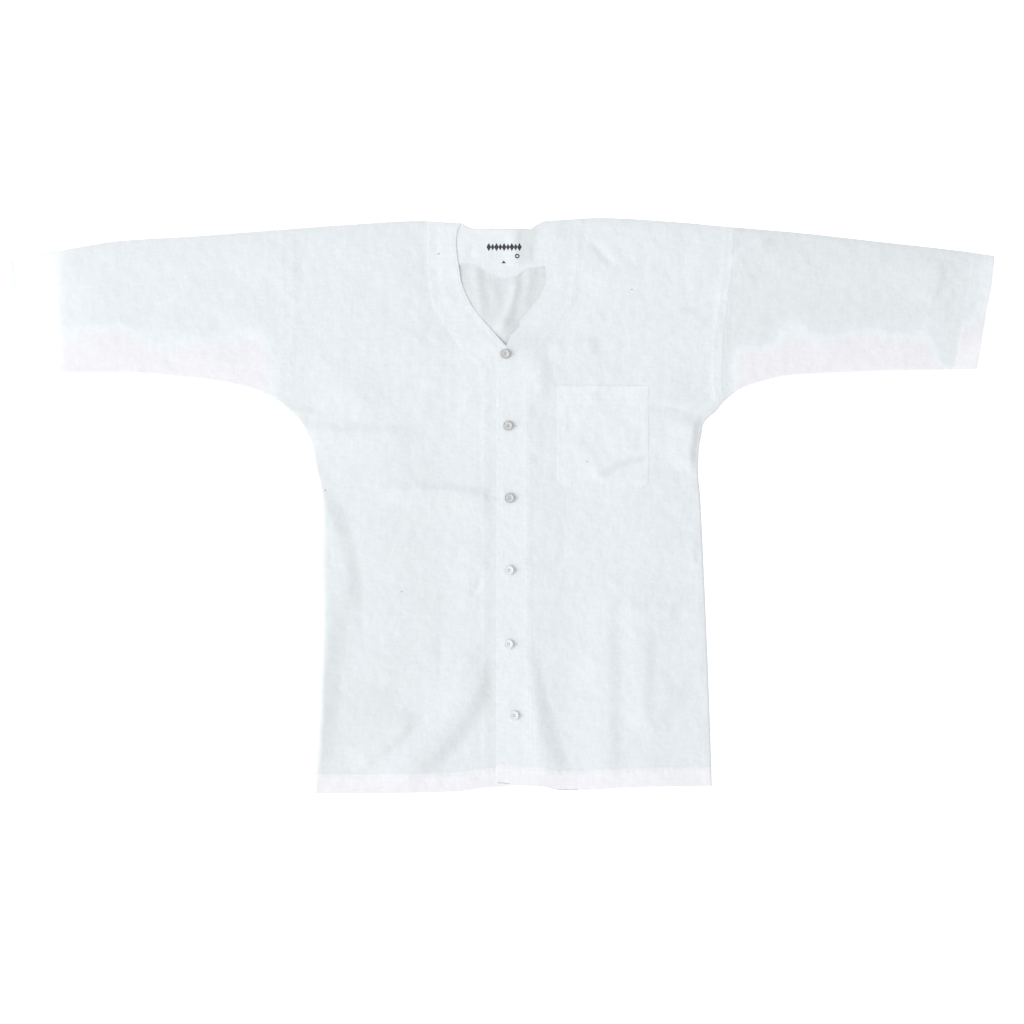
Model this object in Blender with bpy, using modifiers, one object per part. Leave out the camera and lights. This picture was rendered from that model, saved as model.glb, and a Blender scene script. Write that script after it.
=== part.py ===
"""A koikuchi shirt, a collarless Japanese festival shirt, laid out flat with its front up.

Metres, +Z up. +X is the wearer's left, +Y runs from the hem to the shoulders, and the cloth
rests on z = 0. The origin is the centre of the shirt's outline, on the surface it lies on.

The tables give plan lines in millimetres. Each line is a smooth function through its rows,
and each piece is a sheet of plan points between such lines, lifted to its height and given
the thickness of its cloth.
"""
from collections import namedtuple

import bmesh
import bpy
import numpy as np

COLLECTION = "koikuchi_shirt"
MM = 0.001

# Cloth and the layers it makes when it lies flat, in millimetres
CLOTH = 1.2
SEAM_GAP = 0.3
AIR = 2.2
AIR_REACH = 26.0
FACING_CLOTH = 1.0
POCKET_CLOTH = 1.0

# Doubled cloth: how wide each turned band is, and how far it stands above the single cloth
BAND_RAISE = 0.6
HEM_DEPTH, HEM_RAISE = 24.0, 0.5
CUFF_DEPTH, CUFF_RAISE = 20.0, 0.5
FELL_WIDTH, FELL_RAISE = 12.0, 0.5
STEP = 1.2

# Where the left front lies over the right one
UNDER_EDGE = 19.4
OVERLAP_TOP, OVERLAP_FADE = 234.0, 36.0
OVERLAP_MARGIN, OVERLAP_SLOPE = 9.5, 13.0
NECK_START, NECK_MARGIN = 150.0, 22.0

# Where the placket lies still, and where the back facing lifts the fronts
PLACKET_HALF, PLACKET_FADE = 26.0, 14.0
FACING_LIFT_START, FACING_LIFT_HEIGHT, FACING_LIFT_REACH = 66.0, 280.0, 22.0

FULL_LENGTH = 742.4
HALF_SPAN = 634.7
SLEEVE_LENGTH = 340.0
UNDERARM_LEFT, UNDERARM_RIGHT = 136.0, 124.2
UNDERARM_CURVE_START = 40.0
POCKET_TOP, POCKET_BOTTOM = 154.5, 22.9
POCKET_INNER, POCKET_OUTER = 71.0, 189.0
POCKET_CURVE_INNER, POCKET_CURVE_OUTER = 18.0, 11.6
POCKET_HEM, POCKET_HEM_RAISE = 20.0, 0.4

BUTTON_RADIUS, BUTTON_HEIGHT, BUTTON_DISH = 6.1, 2.4, 0.7

# Points of each panel's grid: how many, and their places where the cloth turns at a closed edge
BODY_COLUMNS = 18
FRONT_ROWS, BACK_ROWS, SLEEVE_RINGS, SLEEVE_ROWS, POCKET_ROWS = 30, 14, 13, 10, 8
SKIN_TURN, LINING_TURN = (0, 0.003, 0.012), (0.0072, 0.008, 0.014)

# Top edge, where the cloth folds over the shoulders and along the sleeves
Edge = namedtuple("Edge", "across height")
SHOULDER = [
    Edge(-634.7, 314.4), Edge(-590, 325), Edge(-544, 333.8), Edge(-493, 341.5),
    Edge(-390, 348), Edge(-281, 356.4), Edge(-183, 363.4), Edge(-106, 367.3),
    Edge(-52, 364.7), Edge(53.5, 367.2), Edge(126, 371.2), Edge(204, 367.3),
    Edge(301, 358.9), Edge(384, 351.8), Edge(488, 340.2), Edge(591, 328.6), Edge(634.7, 322.2),
]
BACK_NECK = [
    Edge(-52, 364.7), Edge(-45, 360), Edge(-37, 357.6), Edge(0, 357.4),
    Edge(36, 356.8), Edge(43, 361.6), Edge(53.5, 367.2),
]
HEM_RIGHT = [Edge(-245, -371.2), Edge(-132, -370.5), Edge(-54, -368), Edge(-28, -364), Edge(20, -360.5)]
HEM_LEFT = [
    Edge(-7, -357.6), Edge(23, -360.2), Edge(49, -361.5), Edge(75, -366.7),
    Edge(100, -366.7), Edge(126, -365.4), Edge(178, -362.8), Edge(275, -361.5),
]
HEM_BACK = [
    Edge(-245, -370), Edge(-100, -368), Edge(-20, -361),
    Edge(20, -358.5), Edge(60, -359.5), Edge(275, -360.5),
]
SLEEVE_BOTTOM_LEFT = [
    Edge(287.7, 136), Edge(307, 150.6), Edge(333, 159.6), Edge(359, 166.1),
    Edge(410, 170), Edge(513, 173.8), Edge(614, 175.1),
]
SLEEVE_BOTTOM_RIGHT = [
    Edge(-614.4, 170.6), Edge(-493, 171.2), Edge(-390, 163.5), Edge(-338, 154.5),
    Edge(-312, 146.7), Edge(-286, 132.6), Edge(-276.1, 124.2),
]

# Upright lines, as the distance across at each height on both sides of the wearer
Pair = namedtuple("Pair", "height right left")
SIDE = [
    Pair(-372, -241.5, 271), Pair(-250, -237.4, 267), Pair(-127, -234.8, 262), Pair(-18, -233.5, 257),
    Pair(13, -232.2, 255.4), Pair(44, -238.7, 252.8), Pair(75, -245.1, 254.1), Pair(90, -250.3, 256.7),
    Pair(105.5, -258, 259.3), Pair(121, -272, 274.8), Pair(124.2, -276.1, 277.5), Pair(136, -276.1, 287.7),
]
ARMHOLE = [
    Pair(124.2, -276.1, 287.7), Pair(136, -280, 287.7), Pair(145, -283, 286.4), Pair(162, -285, 284.6),
    Pair(188, -282.5, 285.1), Pair(220, -279.3, 286.4), Pair(258, -278.6, 291.5), Pair(272, -278.6, 292.8),
    Pair(298, -280.6, 296.7), Pair(331, -281.2, 298.6), Pair(360, -281.2, 300.8),
]
CUFF = [
    Pair(173, -614.3, 611.5), Pair(217, -619.4, 618.6), Pair(252, -625.2, 624.5),
    Pair(280, -630.5, 630), Pair(320, -HALF_SPAN, HALF_SPAN),
]
NECK = [
    Pair(-372, 19.4, -7.1), Pair(192, 19.4, -6.5), Pair(207, 4.6, 5.6), Pair(222, -8.7, 12.1),
    Pair(238, -22.9, 23.6), Pair(256, -37.1, 38.3), Pair(269, -44.7, 48.1), Pair(291, -52.8, 57),
    Pair(304, -54.7, 56.8), Pair(321, -57.4, 50.4), Pair(339, -59, 47.2), Pair(354, -57.6, 45.5),
    Pair(368, -50.6, 53.9),
]
BAND = [
    Pair(-372, -23.2, 36.1), Pair(149, -23.2, 35.5), Pair(178, -27.1, 37.4), Pair(203, -50.3, 50.3),
    Pair(231, -69.7, 72.2), Pair(250, -82.6, 83.9), Pair(268, -89.7, 94.2), Pair(314, -94.2, 99.3),
    Pair(368, -94.5, 103.4),
]
FACING_BOTTOM = [
    Edge(-70, 311), Edge(-50, 310.6), Edge(-36, 309.3), Edge(-22, 303.5), Edge(-9, 293.8),
    Edge(6.5, 291.2), Edge(17, 293.8), Edge(27, 300.8), Edge(36, 305.4), Edge(60, 308),
]
FACING_TUCK = 9.0

# The largest folds: a soft trough along a bent line, with a lower ridge on each side
Fold = namedtuple("Fold", "x1 y1 x2 y2 x3 y3 half_width depth")
FOLDS = [
    Fold(-250, 106, -199, 94, -128, 105, 9, 2.0),
    Fold(-226, 7, -186, -56, -181, -119, 10, 1.4),
    Fold(-213, -122, -213, -225, -210, -345, 11, 1.2),
    Fold(-28, -190, -44, -270, -108, -330, 10, 2.2),
    Fold(-66, -124, -74, -160, -80, -200, 9, 1.0),
    Fold(-122, -300, -150, -325, -178, -342, 9, 1.2),
    Fold(46, -185, 60, -275, 90, -345, 10, 1.9),
    Fold(144, -105, 146, -229, 144, -350, 10, 1.7),
    Fold(199, -112, 200, -190, 198, -262, 9, 1.1),
    Fold(-155, 15, -90, 11, -34, 12, 8, 1.2),
    Fold(62, 206, 92, 214, 122, 214, 8, 1.2),
    Fold(226, 250, 260, 262, 290, 268, 9, 1.3),
    Fold(112, 345, 132, 325, 148, 306, 9, 1.1),
    Fold(306, 325, 322, 341, 350, 344, 9, 1.2),
    Fold(262, 98, 250, 72, 232, 56, 8, 1.5),
    Fold(-420, 262, -480, 250, -560, 262, 11, 0.9),
    Fold(400, 240, 470, 228, 560, 236, 11, 0.9),
]
RIDGE_SHARE, RIDGE_PLACE = 0.4, 1.9

Button = namedtuple("Button", "across height")
BUTTONS = [
    Button(4.0, 195.5), Button(7.6, 102.9), Button(9.5, 9.9),
    Button(9.0, -82.9), Button(8.4, -178.3), Button(15.5, -269.9),
]


def line_through(rows, along, value):
    """A smooth function through two columns of a table, which never swings past its rows."""
    at = np.array(sorted((getattr(row, along), getattr(row, value)) for row in rows), float)
    place, level = at[:, 0], at[:, 1]
    step = np.diff(place)
    rise = np.diff(level) / step
    same_way = rise[:-1] * rise[1:] > 0
    both = np.where(same_way, rise[:-1] + rise[1:], 1.0)
    inner = np.where(same_way, 2 * rise[:-1] * rise[1:] / both, 0.0)
    slope = np.concatenate([rise[:1], inner, rise[-1:]])

    def line(x):
        x = np.clip(x, place[0], place[-1])
        i = np.clip(np.searchsorted(place, x, side="right") - 1, 0, len(step) - 1)
        t = (x - place[i]) / step[i]
        ends = level[i] * (1 + 2 * t) * (1 - t) ** 2 + level[i + 1] * t * t * (3 - 2 * t)
        bends = slope[i] * t * (1 - t) ** 2 + slope[i + 1] * t * t * (t - 1)
        return ends + bends * step[i]

    return line


def straight_through(rows, along, value):
    """A line that is straight from row to row, which neighbours with a point at each row share."""
    at = np.array([(getattr(row, along), getattr(row, value)) for row in rows], float)
    return lambda x: np.interp(x, at[:, 0], at[:, 1])


def both_sides(rows, through=line_through):
    """The two lines of a table of pairs, by the wearer's side."""
    return {side: through(rows, "height", side) for side in ("right", "left")}


shoulder = line_through(SHOULDER, "across", "height")
back_neck = line_through(BACK_NECK, "across", "height")
facing_bottom = line_through(FACING_BOTTOM, "across", "height")
hem = {
    "right": line_through(HEM_RIGHT, "across", "height"),
    "left": line_through(HEM_LEFT, "across", "height"),
    "back": line_through(HEM_BACK, "across", "height"),
}
sleeve_bottom = {
    "right": line_through(SLEEVE_BOTTOM_RIGHT, "across", "height"),
    "left": line_through(SLEEVE_BOTTOM_LEFT, "across", "height"),
}
underarm = {"right": UNDERARM_RIGHT, "left": UNDERARM_LEFT}
body_side, cuff, neck, band = (both_sides(rows) for rows in (SIDE, CUFF, NECK, BAND))
armhole = both_sides(ARMHOLE, straight_through)
OUTWARD = {"right": -1, "left": 1}


def outer_line(side):
    """A front's outer line: the side seam, and above the underarm the armhole seam."""
    return lambda y: np.where(y < underarm[side], body_side[side](y), armhole[side](y))


def back_top(x):
    inside = (x > BACK_NECK[0].across) & (x < BACK_NECK[-1].across)
    return np.where(inside, back_neck(x), shoulder(x))


def smooth(share):
    share = np.clip(share, 0, 1)
    return share * share * (3 - 2 * share)


def distance(x, y, line):
    """How far plan points are from a line of plan points."""
    near = np.full(np.shape(x), np.inf)
    for (ax, ay), (bx, by) in zip(line[:-1], line[1:]):
        dx, dy = bx - ax, by - ay
        t = np.clip(((x - ax) * dx + (y - ay) * dy) / (dx * dx + dy * dy), 0, 1)
        near = np.minimum(near, np.hypot(x - ax - t * dx, y - ay - t * dy))
    return near


def closed_edges():
    """The plan lines where the upper and lower cloth meet: the sides, underarms and top edge."""
    lines = []
    for side, out in OUTWARD.items():
        heights = np.linspace(SIDE[0].height, underarm[side], 40)
        lines.append(np.column_stack([body_side[side](heights), heights]))
        arm_end, cuff_end = armhole[side](underarm[side]), out * HALF_SPAN
        across = np.linspace(arm_end, cuff_end, 30)
        lines.append(np.column_stack([across, sleeve_bottom[side](across)]))
        neck_end = BACK_NECK[0].across if side == "right" else BACK_NECK[-1].across
        across = np.linspace(neck_end, cuff_end, 40)
        lines.append(np.column_stack([across, shoulder(across)]))
    return lines


CLOSED_EDGES = closed_edges()


def fold_height(x, y):
    """What the folds add to a plan point's height."""
    total = np.zeros(np.shape(x))
    for fold in FOLDS:
        t = np.linspace(0, 1, 9)[:, None]
        ends = (1 - t) ** 2 * np.array([fold.x1, fold.y1]) + t**2 * np.array([fold.x3, fold.y3])
        line = ends + 2 * t * (1 - t) * np.array([fold.x2, fold.y2])
        away = distance(x, y, line) / fold.half_width
        to_end = np.minimum(np.hypot(x - fold.x1, y - fold.y1), np.hypot(x - fold.x3, y - fold.y3))
        strength = fold.depth * smooth(0.35 + to_end / (4 * fold.half_width))
        ridge = RIDGE_SHARE * np.exp(-((away - RIDGE_PLACE) ** 2) * 2)
        total += strength * (ridge - np.exp(-away * away))
    return total


def upper_level(x, y):
    """The underside of the upper cloth, which lifts off the lower one between the closed edges."""
    near = np.min([distance(x, y, line) for line in CLOSED_EDGES], axis=0)
    part = np.clip(near / AIR_REACH, 0, 1)
    lift = AIR * np.sqrt(1 - (1 - part) ** 2)
    placket = smooth((np.abs(x - 0.5 * UNDER_EDGE) - PLACKET_HALF) / PLACKET_FADE)
    creases = fold_height(x, y) * part * np.where(y < OVERLAP_TOP + OVERLAP_FADE, placket, 1)
    beside = smooth(1 - (np.abs(x) - FACING_LIFT_START) / FACING_LIFT_REACH)
    facing = beside * smooth((y - FACING_LIFT_HEIGHT) / FACING_LIFT_REACH)
    under = (FACING_CLOTH + SEAM_GAP) * facing
    return CLOTH + SEAM_GAP + np.maximum(lift + creases, 0) + under


def overlap_step(x, y):
    """How far the left front is lifted where it lies over the right one."""
    margin = OVERLAP_MARGIN + NECK_MARGIN * smooth((y - NECK_START) / OVERLAP_FADE)
    across = smooth(1 - (x - UNDER_EDGE - margin) / OVERLAP_SLOPE)
    up = smooth(1 - (y - OVERLAP_TOP) / OVERLAP_FADE)
    return (CLOTH + BAND_RAISE + SEAM_GAP) * across * up


def beyond(distance_in, width):
    """1 within a band of the given width, and 0 from a step beyond it."""
    return np.clip((width + STEP - distance_in) / STEP, 0, 1)


def plan(columns, rows, rails, bottom, top):
    """Plan points of a panel. A column between two whole numbers lies between those two rails."""
    u, v = np.meshgrid(columns, rows)
    left = np.minimum(u.astype(int), len(rails) - 2)
    x, y = np.zeros_like(u), np.zeros_like(u)
    for _ in range(12):
        y = bottom(x) + v * (top(x) - bottom(x))
        at = np.array([rail(y) for rail in rails])
        low = np.take_along_axis(at, left[None], axis=0)[0]
        high = np.take_along_axis(at, left[None] + 1, axis=0)[0]
        x = low + (u - left) * (high - low)
    return x, y


def solid(name, material, lower, upper, ring=False):
    """A closed wall: a grid shaped to the lower points, extruded, and its copy moved to the upper ones."""
    rows, columns = lower.shape[:2]
    shape = bmesh.new()
    bmesh.ops.create_grid(shape, x_segments=columns - 1, y_segments=rows - 1, size=1)
    number = shape.verts.layers.int.new("number")
    for i, vertex in enumerate(shape.verts):
        vertex[number] = i
        vertex.co = lower.reshape(-1, 3)[i] * MM
    made = bmesh.ops.extrude_face_region(shape, geom=shape.faces[:])["geom"]
    for vertex in made:
        if isinstance(vertex, bmesh.types.BMVert):
            vertex.co = upper.reshape(-1, 3)[vertex[number]] * MM
    if ring:
        bmesh.ops.delete(shape, geom=seam_faces(shape, number, columns), context="FACES_ONLY")
        bmesh.ops.remove_doubles(shape, verts=shape.verts, dist=0.01 * MM)
    bmesh.ops.recalc_face_normals(shape, faces=shape.faces)
    mesh = bpy.data.meshes.new(name)
    shape.to_mesh(mesh)
    shape.free()
    return finished(name, mesh, material)


def seam_faces(shape, number, columns):
    """The rim faces along the first and last column, which vanish where a ring closes on itself."""
    ends = [set(range(first, len(shape.verts), columns)) for first in (0, columns - 1)]
    return [face for face in shape.faces if any({v[number] for v in face.verts} <= end for end in ends)]


def finished(name, mesh, material):
    piece = bpy.data.objects.new(name, mesh)
    mesh.materials.append(material)
    bpy.data.collections[COLLECTION].objects.link(piece)
    return piece


def cloth_material(name, colour, roughness):
    material = bpy.data.materials.new(name)
    material.use_nodes = True
    shader = material.node_tree.nodes["Principled BSDF"]
    shader.inputs["Base Color"].default_value = (*colour, 1)
    shader.inputs["Roughness"].default_value = roughness
    shader.inputs["Metallic"].default_value = 0
    return material


def stacked(x, y, z):
    return np.stack([x, y, np.broadcast_to(z, np.shape(x))], axis=-1)


def places(count, *fixed):
    """Places from 0 to 1: the fixed ones, and evenly spread ones where none of those is near."""
    even, fixed = np.linspace(0, 1, count), np.concatenate(fixed)
    apart = np.abs(even[:, None] - fixed[None]).min(axis=1) > 0.4 / count
    apart[[0, -1]] = True
    return np.sort(np.concatenate([even[apart], fixed]))


def seam_places(side, bottom, top):
    """The places of the armhole's rows on a panel that runs from one line up to another."""
    heights = np.array([row.height for row in ARMHOLE[:-1] if row.height > underarm[side]])
    across = armhole[side](heights)
    return (heights - bottom(across)) / (top(across) - bottom(across))


def curve_places(side, bottom):
    """The places of the rows that a body panel needs round the underarm's curve."""
    curve = [row.height for row in SIDE if UNDERARM_CURVE_START <= row.height < underarm[side]]
    heights = np.array(curve + [underarm[side]])
    across = outer_line(side)(heights)
    return (heights - bottom(across)) / (shoulder(across) - bottom(across))


def front_surface(side, x, y):
    """The lower and upper height of a front at plan points."""
    out = OUTWARD[side]
    lower = upper_level(x, y)
    if side == "left":
        lower = lower + overlap_step(x, y)
    past_band = (x - band[side](y)) * out
    raise_band = BAND_RAISE * np.clip(1 - past_band / STEP, 0, 1)
    raise_hem = HEM_RAISE * beyond(y - hem[side](x), HEM_DEPTH)
    above_arm = smooth((y - underarm[side]) / STEP)
    raise_fell = FELL_RAISE * beyond((armhole[side](y) - x) * out, FELL_WIDTH) * above_arm
    return lower, lower + CLOTH + np.maximum(np.maximum(raise_band, raise_hem), raise_fell)


def front(side, material):
    """A front, from its free edge and neckline out to its side and armhole seams."""
    out, outer = OUTWARD[side], outer_line(side)
    rails = [
        neck[side],
        band[side],
        lambda y: band[side](y) + out * STEP,
        lambda y: outer(y) - out * (FELL_WIDTH + STEP),
        lambda y: outer(y) - out * FELL_WIDTH,
        outer,
    ]
    body = 2 + np.arange(1, BODY_COLUMNS) / BODY_COLUMNS
    columns = np.concatenate([[0, 0.4, 0.82, 1, 2], body, [3, 4, 4.6, 5]])
    hem_places = np.array([HEM_DEPTH, HEM_DEPTH + STEP]) / FULL_LENGTH
    seams = curve_places(side, hem[side]), seam_places(side, hem[side], shoulder)
    rows = places(FRONT_ROWS, hem_places, *seams)
    x, y = plan(columns, rows, rails, hem[side], shoulder)
    lower, upper = front_surface(side, x, y)
    return solid(f"front_{side}", material, stacked(x, y, lower), stacked(x, y, upper))


def back(material):
    """The back, one flat panel that the rest lies on."""
    neck_columns = [0.394, 0.408, 0.42, 0.45, 0.49, 0.53, 0.546, 0.558, 0.57, 0.581]
    columns = np.concatenate([np.linspace(0, 0.36, 5), neck_columns, np.linspace(0.63, 1, 5)])
    rows = places(
        BACK_ROWS,
        *(curve_places(side, hem["back"]) for side in OUTWARD),
        *(seam_places(side, hem["back"], back_top) for side in OUTWARD),
    )
    x, y = plan(columns, rows, [outer_line("right"), outer_line("left")], hem["back"], back_top)
    return solid("back", material, stacked(x, y, 0.0), stacked(x, y, CLOTH))


def sleeve(side, material):
    """A sleeve: rings from the armhole seam to the cuff, each round the upper and the lower cloth."""
    out, bottom = OUTWARD[side], sleeve_bottom[side]
    hem_places = 1 - np.array([CUFF_DEPTH + STEP, CUFF_DEPTH, 0]) / SLEEVE_LENGTH
    stations = np.concatenate([np.linspace(0, 0.93, SLEEVE_RINGS), hem_places])
    rails = [lambda y: armhole[side](y) + out * SEAM_GAP, cuff[side]]
    middle = places(SLEEVE_ROWS, seam_places(side, bottom, shoulder))[1:-1]
    skin, lining = (
        np.concatenate([turn, middle, 1 - np.array(turn[::-1])]) for turn in (SKIN_TURN, LINING_TURN)
    )
    fullness = np.concatenate([[0.0, 0.75], np.ones(len(skin) - 4), [0.75, 0.0]])
    half = CLOTH + 0.5 * SEAM_GAP

    def layer(across, outside):
        x, y = (grid.T for grid in plan(stations, across, rails, bottom, shoulder))
        level = upper_level(x, y)
        raised = CUFF_RAISE * beyond((cuff[side](y) - x) * out, CUFF_DEPTH)
        if outside:
            top = half + (level + CLOTH + raised - half) * fullness
            under = half * (1 - fullness)
        else:
            round_end = np.concatenate([[0.0], np.ones(len(across) - 2), [0.0]])
            top = half + (level - half) * round_end
            under = half - 0.5 * SEAM_GAP * round_end
        upper, lower = stacked(x, y, top), stacked(x, y, under)
        return np.concatenate([upper, lower[:, -2::-1]], axis=1)

    return solid(f"sleeve_{side}", material, layer(lining, False), layer(skin, True), ring=True)


def neck_facing(material):
    """The half-moon facing inside the back of the neck, its ends tucked under the fronts."""
    rails = [lambda y: neck["right"](y) - FACING_TUCK, lambda y: neck["left"](y) + FACING_TUCK]
    x, y = plan(np.linspace(0, 1, 19), np.linspace(0, 1, 6), rails, facing_bottom, lambda x: back_top(x) - 0.6)
    low = CLOTH + SEAM_GAP
    return solid("neck_facing_back", material, stacked(x, y, low), stacked(x, y, low + FACING_CLOTH))


def pocket(material):
    """The patch pocket, laid on the left front's surface, with its lower corners rounded."""
    def rounded(edge, inward, radius):
        def line(y):
            into = np.clip(radius - (y - POCKET_BOTTOM), 0, radius)
            return edge + inward * (radius - np.sqrt(radius**2 - into**2))
        return line

    rails = [rounded(POCKET_INNER, 1, POCKET_CURVE_INNER), rounded(POCKET_OUTER, -1, POCKET_CURVE_OUTER)]
    height = POCKET_TOP - POCKET_BOTTOM
    corner_and_hem = np.array([1.2, 4, 8.5, height - POCKET_HEM - STEP, height - POCKET_HEM])
    rows = places(POCKET_ROWS, corner_and_hem / height)
    x, y = plan(
        np.linspace(0, 1, 9), rows, rails,
        lambda x: np.full_like(x, POCKET_BOTTOM), lambda x: np.full_like(x, POCKET_TOP),
    )
    lower = front_surface("left", x, y)[1] + SEAM_GAP
    hem_raise = POCKET_HEM_RAISE * beyond(POCKET_TOP - y, POCKET_HEM)
    return solid("pocket", material, stacked(x, y, lower), stacked(x, y, lower + POCKET_CLOTH + hem_raise))


def button(number, place, material):
    """A turned button with a raised rim, lying on the left front over its buttonhole."""
    turn = np.linspace(0, 2 * np.pi, 8, endpoint=False)
    across = place.across + BUTTON_RADIUS * np.cos(turn)
    seat = front_surface("left", across, place.height + BUTTON_RADIUS * np.sin(turn))[1].max() + SEAM_GAP
    outline = [
        (0, BUTTON_HEIGHT - BUTTON_DISH), (0.62 * BUTTON_RADIUS, BUTTON_HEIGHT - BUTTON_DISH),
        (0.78 * BUTTON_RADIUS, BUTTON_HEIGHT), (0.94 * BUTTON_RADIUS, BUTTON_HEIGHT - 0.2),
        (BUTTON_RADIUS, 0.5 * BUTTON_HEIGHT), (0.8 * BUTTON_RADIUS, 0), (0, 0),
    ]
    mesh = bpy.data.meshes.new(f"button_{number}")
    points = [(radius * MM, 0, height * MM) for radius, height in outline]
    mesh.from_pydata(points, [(i, i + 1) for i in range(len(points) - 1)], [])
    piece = finished(f"button_{number}", mesh, material)
    piece.location = (place.across * MM, place.height * MM, seat * MM)
    turned = piece.modifiers.new("turned", "SCREW")
    turned.steps = turned.render_steps = 16
    turned.use_merge_vertices = True
    turned.merge_threshold = 0.01 * MM
    turned.use_smooth_shade = True
    return piece


def build():
    for piece in list(bpy.data.objects):
        bpy.data.objects.remove(piece)
    bpy.context.scene.collection.children.link(bpy.data.collections.new(COLLECTION))
    cotton = cloth_material("slubby_white_cotton", (0.83, 0.85, 0.87), 0.9)
    facing_cotton = cloth_material("facing_cotton", (0.85, 0.86, 0.86), 0.85)
    pearl = cloth_material("pearl_grey", (0.62, 0.63, 0.64), 0.3)
    back(cotton)
    front("right", cotton)
    front("left", cotton)
    sleeve("right", cotton)
    sleeve("left", cotton)
    neck_facing(facing_cotton)
    pocket(cotton)
    for number, place in enumerate(BUTTONS, start=1):
        button(number, place, pearl)


build()
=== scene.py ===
# %% [markdown]
# # A koikuchi shirt laid flat
#
# A koikuchi is the collarless cotton shirt that is worn at Japanese festivals. This one lies on a
# pale floor with its front up. The solids of the frame give every piece its place and its
# thickness. The lesson lays fine cloth on that form, sews it, and lights it from the left.

# %% Load the frame
import math
from collections import namedtuple

import bmesh
import bpy
import numpy as np
from mathutils import Matrix, Vector


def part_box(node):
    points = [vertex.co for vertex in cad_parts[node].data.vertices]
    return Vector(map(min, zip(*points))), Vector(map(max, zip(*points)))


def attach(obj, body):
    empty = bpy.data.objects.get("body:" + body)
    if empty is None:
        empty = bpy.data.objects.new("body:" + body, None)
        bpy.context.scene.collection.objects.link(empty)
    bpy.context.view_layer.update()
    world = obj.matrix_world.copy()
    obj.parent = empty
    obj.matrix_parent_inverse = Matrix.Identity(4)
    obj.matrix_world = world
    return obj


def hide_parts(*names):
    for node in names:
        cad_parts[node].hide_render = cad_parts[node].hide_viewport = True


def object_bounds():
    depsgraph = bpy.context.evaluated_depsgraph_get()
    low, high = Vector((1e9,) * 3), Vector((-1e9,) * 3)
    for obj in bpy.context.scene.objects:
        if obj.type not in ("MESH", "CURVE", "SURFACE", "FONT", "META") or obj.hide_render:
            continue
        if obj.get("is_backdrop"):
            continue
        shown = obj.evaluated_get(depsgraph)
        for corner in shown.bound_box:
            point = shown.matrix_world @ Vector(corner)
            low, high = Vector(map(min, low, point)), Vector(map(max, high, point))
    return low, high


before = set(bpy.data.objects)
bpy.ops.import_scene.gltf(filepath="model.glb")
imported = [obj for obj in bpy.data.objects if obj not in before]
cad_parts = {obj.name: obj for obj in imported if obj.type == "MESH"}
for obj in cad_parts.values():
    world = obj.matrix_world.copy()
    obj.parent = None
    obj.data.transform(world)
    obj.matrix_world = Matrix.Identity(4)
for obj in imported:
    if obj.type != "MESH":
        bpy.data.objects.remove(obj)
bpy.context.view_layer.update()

MM = 0.001

# %% [markdown]
# ## The camera
#
# The photograph looks straight down at the shirt. A long lens keeps the picture flat, so one
# pixel is the same length all over. The picture's middle is a little beside the shirt's own.

# %% Camera
PIXEL = 1.29 * MM
PICTURE = 1024
LENS, SENSOR, CLIP_END = 100.0, 36.0, 50.0
SHIRT_MIDDLE_PIXEL = (502.0, 505.75)

camera = bpy.data.objects.new("camera", bpy.data.cameras.new("camera"))
bpy.context.collection.objects.link(camera)
camera.data.lens, camera.data.sensor_width = LENS, SENSOR
camera.location = (
    (PICTURE / 2 - SHIRT_MIDDLE_PIXEL[0]) * PIXEL,
    (SHIRT_MIDDLE_PIXEL[1] - PICTURE / 2) * PIXEL,
    PICTURE * PIXEL * LENS / SENSOR,
)
camera.data.clip_end = CLIP_END
bpy.context.scene.camera = camera
print("camera height", round(camera.location.z, 3))

# %% [markdown]
# ## The floor and the light
#
# The floor is white paper. The light is soft: a bright room, and a wide window low on the left,
# which draws the folds. A faint rosy bounce comes from the hem's side, and two narrow lamps burn
# out the wearer's right cuff. The plain view transform keeps white cloth white.

# %% Floor and light
FLOOR_SIZE, FLOOR_DROP = 12.0, 0.0002
PAPER_GLOW, ROOM_LIGHT = 0.45, 0.683
CUFF_LAMP = (-0.95, 0.25, 1.05)
bpy.context.scene.view_settings.view_transform = "Standard"


def plain_material(name, colour, roughness):
    material = bpy.data.materials.new(name)
    material.use_nodes = True
    shader = material.node_tree.nodes["Principled BSDF"]
    shader.inputs["Base Color"].default_value = (*colour, 1)
    shader.inputs["Roughness"].default_value = roughness
    return material


def lamp(name, kind, place, target, power, colour=(1, 1, 1), **settings):
    light = bpy.data.lights.new(name, kind)
    light.energy, light.color = power, colour
    for setting, value in settings.items():
        setattr(light, setting, value)
    holder = bpy.data.objects.new(name, light)
    bpy.context.collection.objects.link(holder)
    holder.location = place
    holder.rotation_euler = (Vector(target) - Vector(place)).to_track_quat("-Z", "Y").to_euler()
    print("lamp", name, kind.lower(), power)


bpy.ops.object.select_all(action="DESELECT")
bpy.ops.mesh.primitive_plane_add(size=FLOOR_SIZE, location=(0, 0, -FLOOR_DROP))
floor = bpy.context.object
floor.name = "floor"
floor_paper = plain_material("floor_paper", (0.95, 0.95, 0.95), 0.9)
floor_shader = floor_paper.node_tree.nodes["Principled BSDF"]
floor_shader.inputs["Emission Color"].default_value = (1, 1, 1, 1)
floor_shader.inputs["Emission Strength"].default_value = PAPER_GLOW
floor.data.materials.append(floor_paper)
floor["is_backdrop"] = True

world = bpy.data.worlds.new("bright_room")
world.use_nodes = True
room = world.node_tree.nodes["Background"].inputs
room["Color"].default_value, room["Strength"].default_value = (1, 1, 1, 1), ROOM_LIGHT
bpy.context.scene.world = world
lamp("window", "SUN", place=(-1.0, -0.2, 0.64), target=(0, 0, 0), power=1.78, angle=math.radians(50))
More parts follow.
